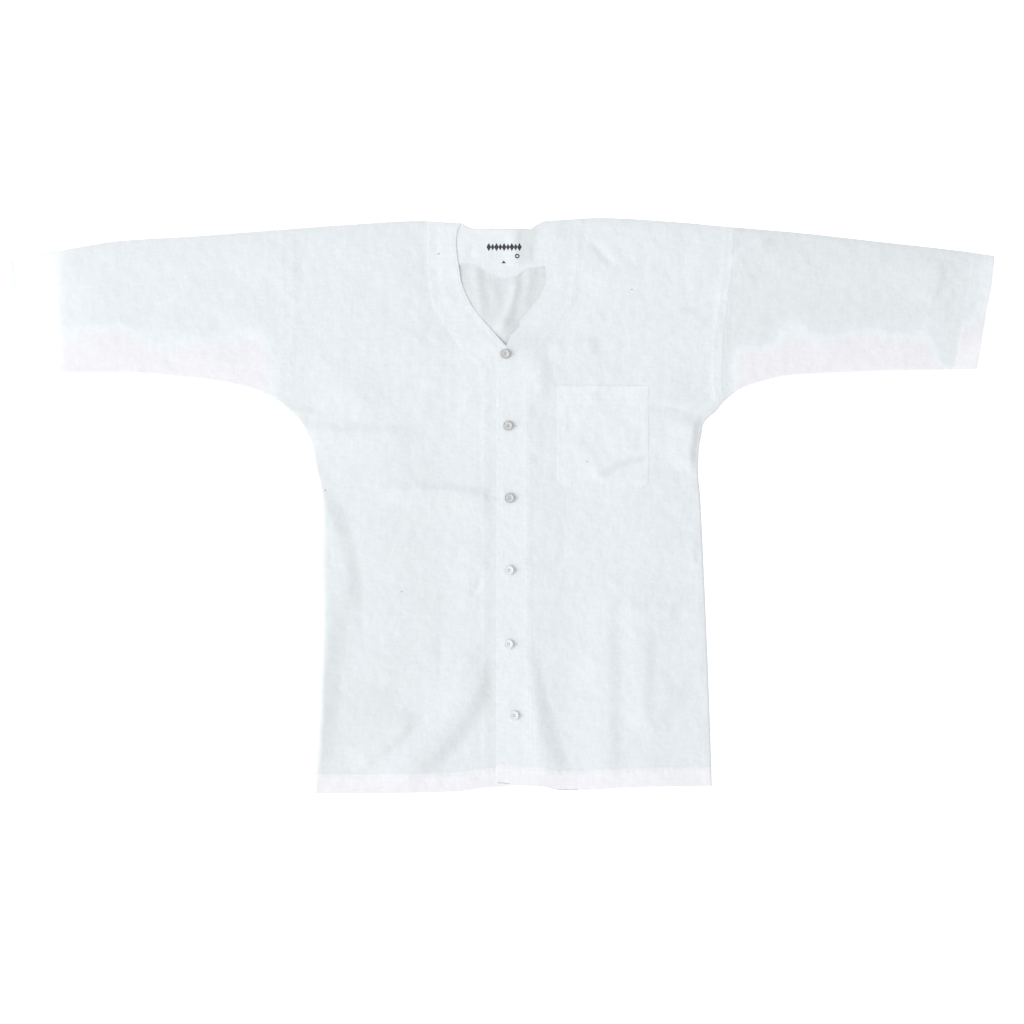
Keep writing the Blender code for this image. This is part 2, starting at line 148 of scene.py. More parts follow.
lamp("near_window", "AREA", place=(-2.2, 0.3, 1.5), target=(-0.3, 0.2, 0), power=9, size=1.2)
lamp("warm_bounce", "SUN", place=(0.1, -1.0, 0.15), target=(0, 0, 0), power=0.55,
     colour=(1.0, 0.78, 0.86), angle=math.radians(12))
lamp("cuff_glow", "SPOT", place=CUFF_LAMP, target=(-0.635, 0.25, 0), power=4.0,
     colour=(1.0, 0.97, 0.98), spot_size=math.radians(12), spot_blend=1.0, shadow_soft_size=0.02)
lamp("cuff_beam", "AREA", place=CUFF_LAMP, target=(-0.597, 0.25, 0), power=0.0088,
     colour=(1.0, 0.97, 0.96), shape="RECTANGLE", size=0.22, size_y=0.044, spread=math.radians(2.2))

# %% [markdown]
# ## The pattern's lines
#
# A tailor draws the shirt from a few measured lines. Each table has a row for each place where a
# line bends, in millimetres from the middle of the shirt, and a smooth curve runs through them.

# %% Lines through measured rows
Edge = namedtuple("Edge", "across height")
Pair = namedtuple("Pair", "height right left")
SHOULDER = [
    Edge(-634.7, 314.4), Edge(-590, 325), Edge(-544, 333.8), Edge(-493, 341.5),
    Edge(-390, 348), Edge(-281, 356.4), Edge(-183, 363.4), Edge(-106, 367.3),
    Edge(-52, 364.7), Edge(53.5, 367.2), Edge(126, 371.2), Edge(204, 367.3),
    Edge(301, 358.9), Edge(384, 351.8), Edge(488, 340.2), Edge(591, 328.6), Edge(634.7, 322.2),
]
BACK_NECK = [
    Edge(-52, 364.7), Edge(-45, 360), Edge(-37, 357.6), Edge(0, 357.4),
    Edge(36, 356.8), Edge(43, 361.6), Edge(53.5, 367.2),
]
HEM_RIGHT = [Edge(-245, -371.2), Edge(-132, -370.5), Edge(-54, -368), Edge(-28, -364), Edge(20, -360.5)]
HEM_LEFT = [
    Edge(-7, -357.6), Edge(23, -360.2), Edge(49, -361.5), Edge(75, -366.7),
    Edge(100, -366.7), Edge(126, -365.4), Edge(178, -362.8), Edge(275, -361.5),
]
HEM_BACK = [
    Edge(-245, -370), Edge(-100, -368), Edge(-20, -361),
    Edge(20, -358.5), Edge(60, -359.5), Edge(275, -360.5),
]
SLEEVE_BOTTOM_LEFT = [
    Edge(287.7, 136), Edge(307, 150.6), Edge(333, 159.6), Edge(359, 166.1),
    Edge(410, 170), Edge(513, 173.8), Edge(614, 175.1),
]
SLEEVE_BOTTOM_RIGHT = [
    Edge(-614.4, 170.6), Edge(-493, 171.2), Edge(-390, 163.5), Edge(-338, 154.5),
    Edge(-312, 146.7), Edge(-286, 132.6), Edge(-276.1, 124.2),
]
SIDE = [
    Pair(-372, -241.5, 271), Pair(-250, -237.4, 267), Pair(-127, -234.8, 262), Pair(-18, -233.5, 257),
    Pair(13, -232.2, 255.4), Pair(44, -238.7, 252.8), Pair(75, -245.1, 254.1), Pair(90, -250.3, 256.7),
    Pair(105.5, -258, 259.3), Pair(121, -272, 274.8), Pair(124.2, -276.1, 277.5), Pair(136, -276.1, 287.7),
]
ARMHOLE = [
    Pair(124.2, -276.1, 287.7), Pair(136, -280, 287.7), Pair(145, -283, 286.4), Pair(162, -285, 284.6),
    Pair(188, -282.5, 285.1), Pair(220, -279.3, 286.4), Pair(258, -278.6, 291.5), Pair(272, -278.6, 292.8),
    Pair(298, -280.6, 296.7), Pair(331, -281.2, 298.6), Pair(360, -281.2, 300.8),
]
CUFF = [
    Pair(173, -614.3, 611.5), Pair(217, -619.4, 618.6), Pair(252, -625.2, 624.5),
    Pair(280, -630.5, 630), Pair(320, -634.7, 634.7),
]
NECK = [
    Pair(-372, 19.4, -7.1), Pair(192, 19.4, -6.5), Pair(207, 4.6, 5.6), Pair(222, -8.7, 12.1),
    Pair(238, -22.9, 23.6), Pair(256, -37.1, 38.3), Pair(269, -44.7, 48.1), Pair(291, -52.8, 57),
    Pair(304, -54.7, 56.8), Pair(321, -57.4, 50.4), Pair(339, -59, 47.2), Pair(354, -57.6, 45.5),
    Pair(368, -50.6, 53.9),
]
BAND = [
    Pair(-372, -23.2, 36.1), Pair(149, -23.2, 35.5), Pair(178, -27.1, 37.4), Pair(203, -50.3, 50.3),
    Pair(231, -69.7, 72.2), Pair(250, -82.6, 83.9), Pair(268, -89.7, 94.2), Pair(314, -94.2, 99.3),
    Pair(368, -94.5, 103.4),
]
FACING_BOTTOM = [
    Edge(-70, 311), Edge(-50, 310.6), Edge(-36, 309.3), Edge(-22, 303.5), Edge(-9, 293.8),
    Edge(6.5, 291.2), Edge(17, 293.8), Edge(27, 300.8), Edge(36, 305.4), Edge(60, 308),
]
OUTWARD = {"right": -1, "left": 1}
UNDERARM = {"right": 124.2, "left": 136.0}
HALF_SPAN = SHOULDER[-1].across


def line_through(rows, along, value):
    """A smooth function through two columns of a table, which never swings past its rows."""
    at = np.array(sorted((getattr(row, along), getattr(row, value)) for row in rows), float)
    place, level = at[:, 0], at[:, 1]
    step = np.diff(place)
    rise = np.diff(level) / step
    same_way = rise[:-1] * rise[1:] > 0
    both = np.where(same_way, rise[:-1] + rise[1:], 1.0)
    slope = np.concatenate([rise[:1], np.where(same_way, 2 * rise[:-1] * rise[1:] / both, 0.0), rise[-1:]])

    def line(x):
        x = np.clip(x, place[0], place[-1])
        i = np.clip(np.searchsorted(place, x, side="right") - 1, 0, len(step) - 1)
        t = (x - place[i]) / step[i]
        ends = level[i] * (1 + 2 * t) * (1 - t) ** 2 + level[i + 1] * t * t * (3 - 2 * t)
        bends = slope[i] * t * (1 - t) ** 2 + slope[i + 1] * t * t * (t - 1)
        return ends + bends * step[i]

    return line


def both_sides(rows):
    return {side: line_through(rows, "height", side) for side in OUTWARD}


def level_lines(*tables):
    return [line_through(rows, "across", "height") for rows in tables]


shoulder, back_neck, facing_bottom = level_lines(SHOULDER, BACK_NECK, FACING_BOTTOM)
hem = dict(zip(("right", "left", "back"), level_lines(HEM_RIGHT, HEM_LEFT, HEM_BACK)))
sleeve_bottom = dict(zip(OUTWARD, level_lines(SLEEVE_BOTTOM_RIGHT, SLEEVE_BOTTOM_LEFT)))
body_side, armhole, cuff, neck, band = (both_sides(rows) for rows in (SIDE, ARMHOLE, CUFF, NECK, BAND))


def outer_line(side):
    """A body panel's outer line: the side seam, and above the underarm the armhole seam."""
    return lambda y: np.where(y < UNDERARM[side], body_side[side](y), armhole[side](y))


def back_top(x):
    inside = (x > BACK_NECK[0].across) & (x < BACK_NECK[-1].across)
    return np.where(inside, back_neck(x), shoulder(x))


print("body length in mm", round(float(shoulder(126.0) - hem["right"](-240.0)), 1))

# %% [markdown]
# ## How high the cloth lies
#
# Two layers of cotton lie on each other. They meet where the shirt is folded or sewn shut, at the
# shoulders, sides and underarms, and air holds them apart between. Every piece asks the same
# height function, so neighbours meet at their seams, and a fold crosses a seam without a jump.

# %% Distances and soft steps
SIDE_POINTS, SLEEVE_POINTS, SHOULDER_POINTS = 40, 30, 40


def smooth(share):
    share = np.clip(share, 0, 1)
    return share * share * (3 - 2 * share)


def soft_step(value, start, end):
    """0 up to a start and 1 from an end on. A start past the end turns the step round."""
    return smooth((value - start) / (end - start))


def rounded(share):
    """0 at 0 and 1 from 1 on, along a quarter circle."""
    return np.sqrt(1 - (1 - np.clip(share, 0, 1)) ** 2)


def distance(x, y, line):
    """How far plan points are from a line of plan points."""
    near = np.full(np.shape(x), np.inf)
    for (ax, ay), (bx, by) in zip(line[:-1], line[1:]):
        dx, dy = bx - ax, by - ay
        t = np.clip(((x - ax) * dx + (y - ay) * dy) / (dx * dx + dy * dy), 0, 1)
        near = np.minimum(near, np.hypot(x - ax - t * dx, y - ay - t * dy))
    return near


def upright(line, low, high, count):
    """The points of an upright line between two heights."""
    heights = np.linspace(low, high, count)
    return np.column_stack([line(heights), heights])


def level(line, start, end, count):
    """The points of a line that runs across, between two places."""
    across = np.linspace(start, end, count)
    return np.column_stack([across, line(across)])


side_seams, sleeve_seams, shoulder_folds = {}, {}, {}
for side, out in OUTWARD.items():
    neck_point = BACK_NECK[0].across if side == "right" else BACK_NECK[-1].across
    arm_end = armhole[side](UNDERARM[side])
    side_seams[side] = upright(body_side[side], SIDE[0].height, UNDERARM[side], SIDE_POINTS)
    sleeve_seams[side] = level(sleeve_bottom[side], arm_end, out * HALF_SPAN, SLEEVE_POINTS)
    shoulder_folds[side] = level(shoulder, neck_point, out * HALF_SPAN, SHOULDER_POINTS)


def to_closed_edges(x, y):
    """How far plan points are from the side seams, the sleeve seams and the folds at the top."""
    for lines in (side_seams, sleeve_seams, shoulder_folds):
        yield np.min([distance(x, y, line) for line in lines.values()], axis=0)


def to_closed_edge(x, y):
    return np.minimum.reduce([*to_closed_edges(x, y)])


def eased(share):
    """0 at 0 and 1 from 1 on, steepest at the start."""
    return 1 - (1 - np.clip(share, 0, 1)) ** 2


CHEST = np.array([120.0]), np.array([200.0])
print("chest to the nearest closed edge in mm", round(float(to_closed_edge(*CHEST)[0]), 1))

# %% [markdown]
# ## The folds
#
# The shirt was folded, unfolded and smoothed by hand. A wide fold is a low roll: it swells gently
# from one side, turns over its crest, and falls ever more steeply to a foot line, past which the
# cloth is flat again. Each row gives the foot as a bent line through three points, then the width
# from crest to foot and the height. Narrow creases are soft troughs. They are all unlike, as they
# are on the real cloth.

# %% Folds placed one by one
Roll = namedtuple("Roll", "x1 y1 x2 y2 x3 y3 width swell height")
Fold = namedtuple("Fold", "x1 y1 x2 y2 x3 y3 half_width depth")
ROLLS = [
    Roll(0, -196, -14, -306, -138, -382, 23, 38, 4.2),
    Roll(-18, -226, -44, -324, -160, -390, 27, 40, 2.0),
    Roll(44, -150, 54, -262, 100, -356, 24, 32, 3.0),
    Roll(154, -96, 157, -230, 155, -385, 20, 30, 1.9),
    Roll(198, -140, 200, -210, 196, -296, 16, 26, 1.4),
    Roll(-228, 38, -166, -50, -180, -180, 22, 46, 2.4),
    Roll(-192, -90, -200, -215, -226, -382, 28, 38, 3.2),
    Roll(-262, 113, -196, 103, -104, 108, 14, 26, 2.4),
    Roll(-166, 28, -85, 41, 10, 16, 12, 30, 2.0),
    Roll(-74, -136, -77, -180, -79, -236, 12, 24, 0.5),
    Roll(-100, -276, -136, -318, -190, -350, 11, 22, 2.2),
    Roll(260, 118, 251, 80, 251, 40, 11, 25, 3.2),
    Roll(54, 208, 90, 217, 128, 219, 8, 20, 1.6),
    Roll(64, 196, 69, 162, 62, 128, 16, 22, 1.4),
    Roll(148, -121, 190, -126, 230, -120, 12, 24, 1.0),
    Roll(246, -246, 222, -275, 192, -308, 18, 28, 1.2),
    Roll(288, 317, 316, 344, 348, 351, 6, 14, 1.8),
    Roll(571, 322, 580, 286, 554, 256, 10, 20, 1.3),
    Roll(-560, 262, -480, 246, -400, 262, 20, 30, 0.6),
    Roll(396, 232, 470, 220, 560, 232, 20, 30, 0.6),
    Roll(-300, 190, -340, 230, -392, 246, 16, 30, 0.6),
    Roll(318, 196, 352, 232, 408, 250, 16, 30, 0.6),
]
CREASES = [
    Fold(-270, 117, -258, 121, -243, 122, 4, -1.1),
    Fold(226, 251, 262, 259, 298, 271, 5, 1.2),
    Fold(112, 345, 128, 327, 146, 308, 6, 1.0),
    Fold(226, 318, 238, 332, 252, 346, 6, 0.7),
    Fold(300, 290, 312, 296, 328, 293, 7, -0.7),
    Fold(189, 128, 212, 130, 240, 122, 4, 0.9),
    Fold(44, -64, 36, -72, 26, -76, 3.5, 0.8),
    Fold(-24, -93, -34, -108, -42, -119, 4, 0.8),
    Fold(-24, 12, -10, 12, 3, 11, 2.6, 2.0),
    Fold(255, -66, 252, -71, 249, -70, 3, 0.9),
]
SOFT_END, FOLD_POINTS = 0.26, 9


def beside_fold(x, y, row):
    """How far left of a fold's bent line plan points are, and a mask that fades out at its ends."""
    t = np.linspace(0, 1, FOLD_POINTS)[:, None]
    ends = (1 - t) ** 2 * np.array([row.x1, row.y1]) + t**2 * np.array([row.x3, row.y3])
    line = ends + 2 * t * (1 - t) * np.array([row.x2, row.y2])
    near, aside = np.full(np.shape(x), np.inf), np.zeros(np.shape(x))
    for (ax, ay), (dx, dy) in zip(line[:-1], np.diff(line, axis=0)):
        t = np.clip(((x - ax) * dx + (y - ay) * dy) / (dx * dx + dy * dy), 0, 1)
        away = np.hypot(x - ax - t * dx, y - ay - t * dy)
        closer = away < near
        near = np.where(closer, away, near)
        aside = np.where(closer, np.copysign(away, dx * (y - ay) - dy * (x - ax)), aside)
    whole_x, whole_y = row.x3 - row.x1, row.y3 - row.y1
    share = ((x - row.x1) * whole_x + (y - row.y1) * whole_y) / (whole_x**2 + whole_y**2)
    return aside, smooth(share / SOFT_END) * smooth((1 - share) / SOFT_END)


def roll_height(x, y):
    """The wide folds: lines drawn downwards or to the right have their roll on the left or below."""
    total = np.zeros(np.shape(x))
    for roll in ROLLS:
        aside, fade = beside_fold(x, y, roll)
        past_crest = aside + roll.width
        swell = np.exp(-((past_crest / roll.swell) ** 2))
        drop = 1 - 0.8 * smooth(past_crest / roll.width) - 0.2 * np.clip(past_crest / roll.width, 0, 1) ** 2
        total += roll.height * fade * np.where(past_crest < 0, swell, drop)
    return total


def fold_height(x, y, folds):
    """What a table of narrow folds adds to each plan point's height."""
    total = np.zeros(np.shape(x))
    for fold in folds:
        aside, fade = beside_fold(x, y, fold)
        total -= fold.depth * fade * np.exp(-((aside / fold.half_width) ** 2))
    return total


def waves(x, y, seed, shortest, longest, height, count=26):
    """Uneven shallow waves of many lengths and directions, about so high."""
    dice = np.random.default_rng(seed)
    lengths = dice.uniform(shortest, longest, count)
    turns = dice.uniform(0, math.tau, count)
    starts = dice.uniform(0, math.tau, count)
    total, power = np.zeros(np.shape(x)), 0.0
    for length, turn, start in zip(lengths, turns, starts):
        along = x * math.cos(turn) + y * math.sin(turn)
        total += length * np.sin(along * math.tau / length + start)
        power += length * length / 2
    return total * height / math.sqrt(power)


print("wide folds", len(ROLLS), "narrow creases", len(CREASES))

# %% [markdown]
# ## The upper cloth's height function
#
# The two layers rise from their closed edges over the air between them. The folds and two sizes of
# soft waves are added to that. On the buttoned placket, where two stiff bands lie on each other,
# the cloth stands higher and moves less. At the open neckline it lies down on what is under it.

# %% The upper cloth
CLOTH, SEAM_GAP = 1.2, 0.3
AIR, LOWEST = 2.2, -0.95
SIDE_RISE, BOTTOM_RISE, TOP_RISE = 90.0, 46.0, 42.0
EDGE_HEIGHT, EDGE_REACH, FOLD_REACH = 1.35, 2.4, 8.0
FOLDS_HELD, WAVES_HELD = 7, 14
FACING_CLOTH, FACING_LIFT_REACH = 0.5, 22.0
FACING_HALF_WIDTH, FACING_LOW = 66, 280
LONG_WAVES, SHORT_WAVES = (3, 38, 110, 0.22), (8, 14, 34, 0.06)
NECK_REACH, NECK_EDGE, NECK_SINK, NECK_STILL = 90.0, 0.3, 0.9, 0.8
NECK_OPENING, NECK_POINTS, OPEN_FROM = (205, 366), 24, (200, 232)
PLACKET_MIDDLE, PLACKET_TOP, PLACKET_EDGE = 10, 250, (20, 38)
PLACKET_LIFT, LIFT_RIGHT, LIFT_LEFT, LIFT_TOP = 2.0, (-80, -14), (92, 28), (237, 195)
PLACKET_FOLDS, PLACKET_WAVES = 0.35, 0.25


def quiet(x, y):
    """0 on the buttoned placket, where two stiff bands lie still, and 1 away from it."""
    return np.where(y < PLACKET_TOP, soft_step(np.abs(x - PLACKET_MIDDLE), *PLACKET_EDGE), 1)


def to_neckline(x, y):
    """How far plan points are from the open neckline, which starts above the top button."""
    lines = [upright(neck[side], *NECK_OPENING, NECK_POINTS) for side in OUTWARD]
    return np.min([distance(x, y, line) for line in lines], axis=0)


def placket_lift(x, y):
    """How far the buttoned bands stand above the cloth beside them."""
    return PLACKET_LIFT * soft_step(x, *LIFT_RIGHT) * soft_step(x, *LIFT_LEFT) * soft_step(y, *LIFT_TOP)


def upper_skin(x, y):
    """The outer surface of the upper cloth, before its bands and hems are raised."""
    to_side, to_bottom, to_top = to_closed_edges(x, y)
    near = np.minimum.reduce([to_side, to_bottom, to_top])
    rise_in = smooth(to_side / SIDE_RISE) * eased(to_bottom / BOTTOM_RISE) * eased(to_top / TOP_RISE)
    to_neck, above_button = to_neckline(x, y), soft_step(y, *OPEN_FROM)
    near_neck = smooth(1 - to_neck / NECK_REACH) * above_button
    at_neck = smooth(1 - to_neck / (NECK_EDGE * NECK_REACH)) * above_button
    lift = AIR * rise_in * (1 - near_neck) - NECK_SINK * at_neck + placket_lift(x, y)
    still = 1 - quiet(x, y)
    folds = (roll_height(x, y) + fold_height(x, y, CREASES)) * smooth(near / FOLDS_HELD)
    soft = (waves(x, y, *LONG_WAVES) + waves(x, y, *SHORT_WAVES)) * smooth(near / WAVES_HELD)
    moved = folds * (1 - (1 - PLACKET_FOLDS) * still) + soft * (1 - (1 - PLACKET_WAVES) * still)
    moved = moved * (1 - NECK_STILL * at_neck)
    over_facing = smooth(1 - (np.abs(x) - FACING_HALF_WIDTH) / FACING_LIFT_REACH)
    under = (FACING_CLOTH + SEAM_GAP) * over_facing * smooth((y - FACING_LOW) / FACING_LIFT_REACH)
    flat = CLOTH + SEAM_GAP + CLOTH
    at_edge = 1 - rounded(np.minimum(to_side, to_bottom) / EDGE_REACH) * rounded(to_top / FOLD_REACH)
    return flat + np.maximum(lift + moved, LOWEST) + under - (flat - EDGE_HEIGHT) * at_edge


print("skin height at the chest in mm", round(float(upper_skin(*CHEST)[0]), 2))

# %% [markdown]
# ## Hems, bands and the overlap
#
# Where cloth is turned and sewn down it is twice or three times as thick, so each band, hem and
# felled seam stands a little above the single cloth. The left front also climbs over the right
# one at the opening. Thicker cloth lets less light through and looks paler, so a second function
# tells how much cloth lies under each point, from a single layer at 0 to a doubled hem at 1. It
# also paints shade: along the side seams, and over the lower right front, with a darker patch.

# %% Surfaces of the fronts
STEP = 3.2
BAND_RAISE = 0.1
HEM_DEPTH, HEM_RAISE = 22.5, 0.03
CUFF_DEPTH, CUFF_RAISE = 27.0, 0.1
FELL_WIDTH, FELL_EDGE, FELL_RAISE = 12.0, 1.5, {"right": 0.08, "left": 0.2}
SIDE_TURN, PRESSED_WIDTH = 6.0, 12.0
UNDERLAP_SINK, UNDERLAP_TOP, UNDERLAP_SIDE = 0.5, (215, 190), (-47, -7)
EDGE_SINK = 0.35
SINGLE, PAIR, LINED, SEAMED, DOUBLED = 0.0, 0.5, 0.62, 0.75, 1.0
COLLAR_TONE, COLLAR_FROM = {"right": 0.11, "left": -0.05}, (170, 220)
# The side, low-front and patch values below are painted shade.
PLACKET_TONE, HEM_TONE, FELL_TONE, SIDE_SHADE = 0.038, 0.46, 0.015, -0.08
FRONT_TONE, LOW_FRONT_SHADE = {"right": 0.0, "left": 0.02}, {"right": -0.09, "left": 0.0}
LOW_FRONT = (110, 30)
PATCH_SHADE, PATCH_X, PATCH_Y, PATCH_WIDTH, PATCH_HEIGHT = -0.18, -185, -275, 95, 120


def beyond(distance_in, width):
    """1 within a band of the given width, and 0 from a step beyond it."""
    return smooth((width + STEP - distance_in) / STEP)


def pressed_edge(x, y):
    """1 at the left front's free edge, which is pressed thin, and 0 from a finger's width inside it."""
    return smooth(1 - (x - neck["left"](y)) / PRESSED_WIDTH)


def overlap_sink(side, x, y):
    """How far the right front dips under the left one, or the left one's pressed edge lies down."""
    if side == "right":
        return UNDERLAP_SINK * soft_step(y, *UNDERLAP_TOP) * soft_step(x, *UNDERLAP_SIDE)
    return EDGE_SINK * pressed_edge(x, y)


def front_parts(side, x, y):
    """1 inside a front's band, its hem and its felled seam, and 0 outside them."""
    out = OUTWARD[side]
    in_band = smooth(1 - (x - band[side](y)) * out / STEP)
    in_hem = beyond(y - hem[side](x), HEM_DEPTH)
    from_armhole = (armhole[side](y) - x) * out
    above = smooth((y - UNDERARM[side]) / STEP)
    in_fell = beyond(from_armhole, FELL_WIDTH) * smooth(from_armhole / FELL_EDGE) * above
    return in_band, in_hem, in_fell


def front_raise(side, x, y):
    """How much thicker a front is than its single cloth, at its band, hem and felled seam."""
    in_band, in_hem, in_fell = front_parts(side, x, y)
    return np.maximum.reduce([BAND_RAISE * in_band, HEM_RAISE * in_hem, FELL_RAISE[side] * in_fell])


def front_cover_and_painted_shade(side, x, y):
    """How much cloth lies under each point, with painted shade along the side seams and low on the right
    front.
    """
    in_band, in_hem, in_fell = front_parts(side, x, y)
    at_side = beyond(distance(x, y, side_seams[side]), SIDE_TURN)
    at_band = PLACKET_TONE + (COLLAR_TONE[side] - PLACKET_TONE) * soft_step(y, *COLLAR_FROM)
    more = at_band * in_band + np.maximum(HEM_TONE * in_hem, FELL_TONE * in_fell)
    # Painted shade: darker along the side seams, over the lower right front and in a patch there.
    from_patch = np.hypot((x - PATCH_X) / PATCH_WIDTH, (y - PATCH_Y) / PATCH_HEIGHT)
    whole = FRONT_TONE[side] + LOW_FRONT_SHADE[side] * soft_step(y, *LOW_FRONT)
    return PAIR + whole + more + SIDE_SHADE * at_side + PATCH_SHADE * smooth(1 - from_patch)


def front_skin(side, x, y):
    return upper_skin(x, y) + front_raise(side, x, y) - overlap_sink(side, x, y)


print("band, hem, cuff and felled seams stand out in mm by", BAND_RAISE, HEM_RAISE, CUFF_RAISE, FELL_RAISE)

# %% [markdown]
# ## A sheet of fine cloth
#
# A laid panel could be draped by a cloth simulation, but these folds are few and known, so each
# panel starts as a grid. Its points are laid on the panel's plan and lifted to the height
# function, as fingers would smooth cloth onto a form. Solidify then gives it a second layer, so
# it is a thin closed shell with real edges. Three maps go with it: where each point lies on the
# bolt of cloth, for the weave, how far it is from the nearest seams, for the puckers, and how
# much cloth lies under it, with some painted shade and light, for the colour.

# %% Grids and shells
THIN, FAR = 0.5, 99.0
PLAN_ROUNDS, SMOOTH_BELOW = 12, 50


def plan(columns, rows, rails, bottom, top):
    """Plan points of a panel. A column between two whole numbers lies between those two rails."""
    u, v = np.meshgrid(columns, rows)
    left = np.minimum(u.astype(int), len(rails) - 2)
    x, y = np.zeros_like(u), np.zeros_like(u)
    for _ in range(PLAN_ROUNDS):
        y = bottom(x) + v * (top(x) - bottom(x))
        at = np.array([rail(y) for rail in rails])
        low = np.take_along_axis(at, left[None], axis=0)[0]
        high = np.take_along_axis(at, left[None] + 1, axis=0)[0]
        x = low + (u - left) * (high - low)
    return x, y


def spread(length, spacing, start=(), end=()):
    """Places from 0 to 1 along a length: even ones, and closer ones at the start and the end."""
    even = np.linspace(0, 1, int(round(length / spacing)) + 1)
    first, last = np.array([0, *start]) / length, 1 - np.array([0, *end]) / length
    inner = even[(even > first.max() + 0.5 * spacing / length) & (even < last.min() - 0.5 * spacing / length)]
    return np.unique(np.concatenate([first, inner, last]))


def stacked(x, y, z):
    return np.stack([x, y, np.broadcast_to(z, np.shape(x))], axis=-1)


def nearest(*signed):
    """Of several signed distances, the one nearest to zero."""
    stack = np.array(signed)
    return np.take_along_axis(stack, np.abs(stack).argmin(axis=0)[None], axis=0)[0]


def give_map(piece, name, values):
    """A UV map with one value pair for each point."""
    layer = piece.data.uv_layers.new(name=name)
    corner = np.empty(len(piece.data.loops), np.int32)
    piece.data.loops.foreach_get("vertex_index", corner)
    layer.data.foreach_set("uv", values[corner].astype(np.float32).ravel())


def shell(name, material, outer, inner, seams, cloth_and_painted_shading, grain=0.0, ring=False):
    """A closed thin sheet of cloth between two layers of plan points."""
    rows, columns = outer.shape[:2]
    bpy.ops.object.select_all(action="DESELECT")
    bpy.ops.mesh.primitive_grid_add(x_subdivisions=columns - 1, y_subdivisions=rows - 1, size=1)
    piece = bpy.context.object
    piece.name = piece.data.name = name
    mesh = piece.data
    mesh.vertices.foreach_set("co", (outer * MM).astype(np.float32).ravel())
    mesh.update()
    if ring:
        close_ring(mesh, rows, columns)
    if mesh.polygons[(rows // 2) * (columns - 1) + columns // 4].normal.z < 0:
        mesh.flip_normals()
    wall = piece.modifiers.new("wall", "SOLIDIFY")
    wall.thickness = THIN * MM
    bpy.ops.object.modifier_apply(modifier=wall.name)
    layers = np.concatenate([outer.reshape(-1, 3), inner.reshape(-1, 3)])
    mesh.vertices.foreach_set("co", (layers * MM).astype(np.float32).ravel())
    mesh.update()
    while mesh.uv_layers:
        mesh.uv_layers.remove(mesh.uv_layers[0])
    turn = np.array([[math.cos(grain), -math.sin(grain)], [math.sin(grain), math.cos(grain)]])
    give_map(piece, "bolt", layers[:, :2] @ turn * MM)
    give_map(piece, "seams", np.concatenate([seams.reshape(-1, 2)] * 2))
    # The layers map carries how much cloth lies under each point, and painted shade and light with it.
    cover_and_painted_shading = np.broadcast_to(cloth_and_painted_shading, outer.shape[:2]).reshape(-1, 1)
    give_map(piece, "layers", np.concatenate([np.hstack([cover_and_painted_shading, 0 * cover_and_painted_shading])] * 2))
    bpy.ops.object.shade_smooth_by_angle(angle=math.radians(SMOOTH_BELOW))
    mesh.materials.append(material)
    print(name, "faces", len(mesh.polygons))
    return piece


def close_ring(mesh, rows, columns):
    """Joins the first and last column of a grid, so that it is a tube."""
    bpy.ops.object.mode_set(mode="EDIT")
    bpy.ops.mesh.select_mode(type="EDGE")
    bpy.ops.mesh.select_all(action="DESELECT")
    shape = bmesh.from_edit_mesh(mesh)
    shape.verts.ensure_lookup_table()
    for column in (0, columns - 1):
        ends = {row * columns + column for row in range(rows)}
        for edge in shape.edges:
            if edge.verts[0].index in ends and edge.verts[1].index in ends:
                edge.select_set(True)
    bmesh.update_edit_mesh(mesh)
    bpy.ops.mesh.bridge_edge_loops()
    bpy.ops.object.mode_set(mode="OBJECT")


# %% [markdown]
# ## The cotton
#
# The cloth is spun and woven unevenly: here and there a thicker thread, a slub, makes a short
# dash in the warp or the weft. It has been washed, so it is finely crumpled all over, and it
# puckers where it is sewn. A picture of cloth would repeat and would fix the light in it, so one
# node group makes all of this from the bolt and seam maps, for every panel.

# %% The weave as a node group
def add_node(tree, kind, values=(), **settings):
    """A shader node with its settings and the values of its sockets."""
    made = tree.nodes.new(kind)
    for name, value in settings.items():
        setattr(made, name, value)
    for name, value in dict(values).items():
        made.inputs[name].default_value = value
    return made


def math_node(tree, operation, first, second=None, clamp=False):
    """A Math node whose inputs are numbers or sockets."""
    made = tree.nodes.new("ShaderNodeMath")
    made.operation, made.use_clamp = operation, clamp
    for socket, value in zip(made.inputs, (first, second)):
        if value is None:
            continue
        if isinstance(value, (int, float)):
            socket.default_value = value
        else:
            tree.links.new(value, socket)
    return made.outputs[0]


def noise(tree, place, stretch, detail=2.0, rough=0.5):
    """Noise with its own size across and along the bolt, given as how many grains to a metre."""
    mapping = add_node(tree, "ShaderNodeMapping", {"Scale": stretch})
    texture = add_node(tree, "ShaderNodeTexNoise", {"Scale": 1.0, "Detail": detail, "Roughness": rough})
    tree.links.new(place, mapping.inputs["Vector"])
    tree.links.new(mapping.outputs["Vector"], texture.inputs["Vector"])
    return texture.outputs["Fac"]


def fall(tree, size, start, reach):
    """A mask that is 1 up to a start and falls softly to 0 at its reach."""
    ends = {"From Min": start, "From Max": reach, "To Min": 1, "To Max": 0}
    mask = add_node(tree, "ShaderNodeMapRange", ends)
    mask.interpolation_type = "SMOOTHSTEP"
    tree.links.new(size, mask.inputs["Value"])
    return mask.outputs["Result"]


def rise(tree, value, start, end):
    mask = add_node(tree, "ShaderNodeMapRange", {"From Min": start, "From Max": end})
    mask.interpolation_type = "SMOOTHSTEP"
    tree.links.new(value, mask.inputs["Value"])
    return mask.outputs["Result"]


def with_share(tree, total, part, share, operation="ADD"):
    """A total with a share of another value added to it or taken from it."""
    return math_node(tree, operation, total, math_node(tree, "MULTIPLY", part, share))


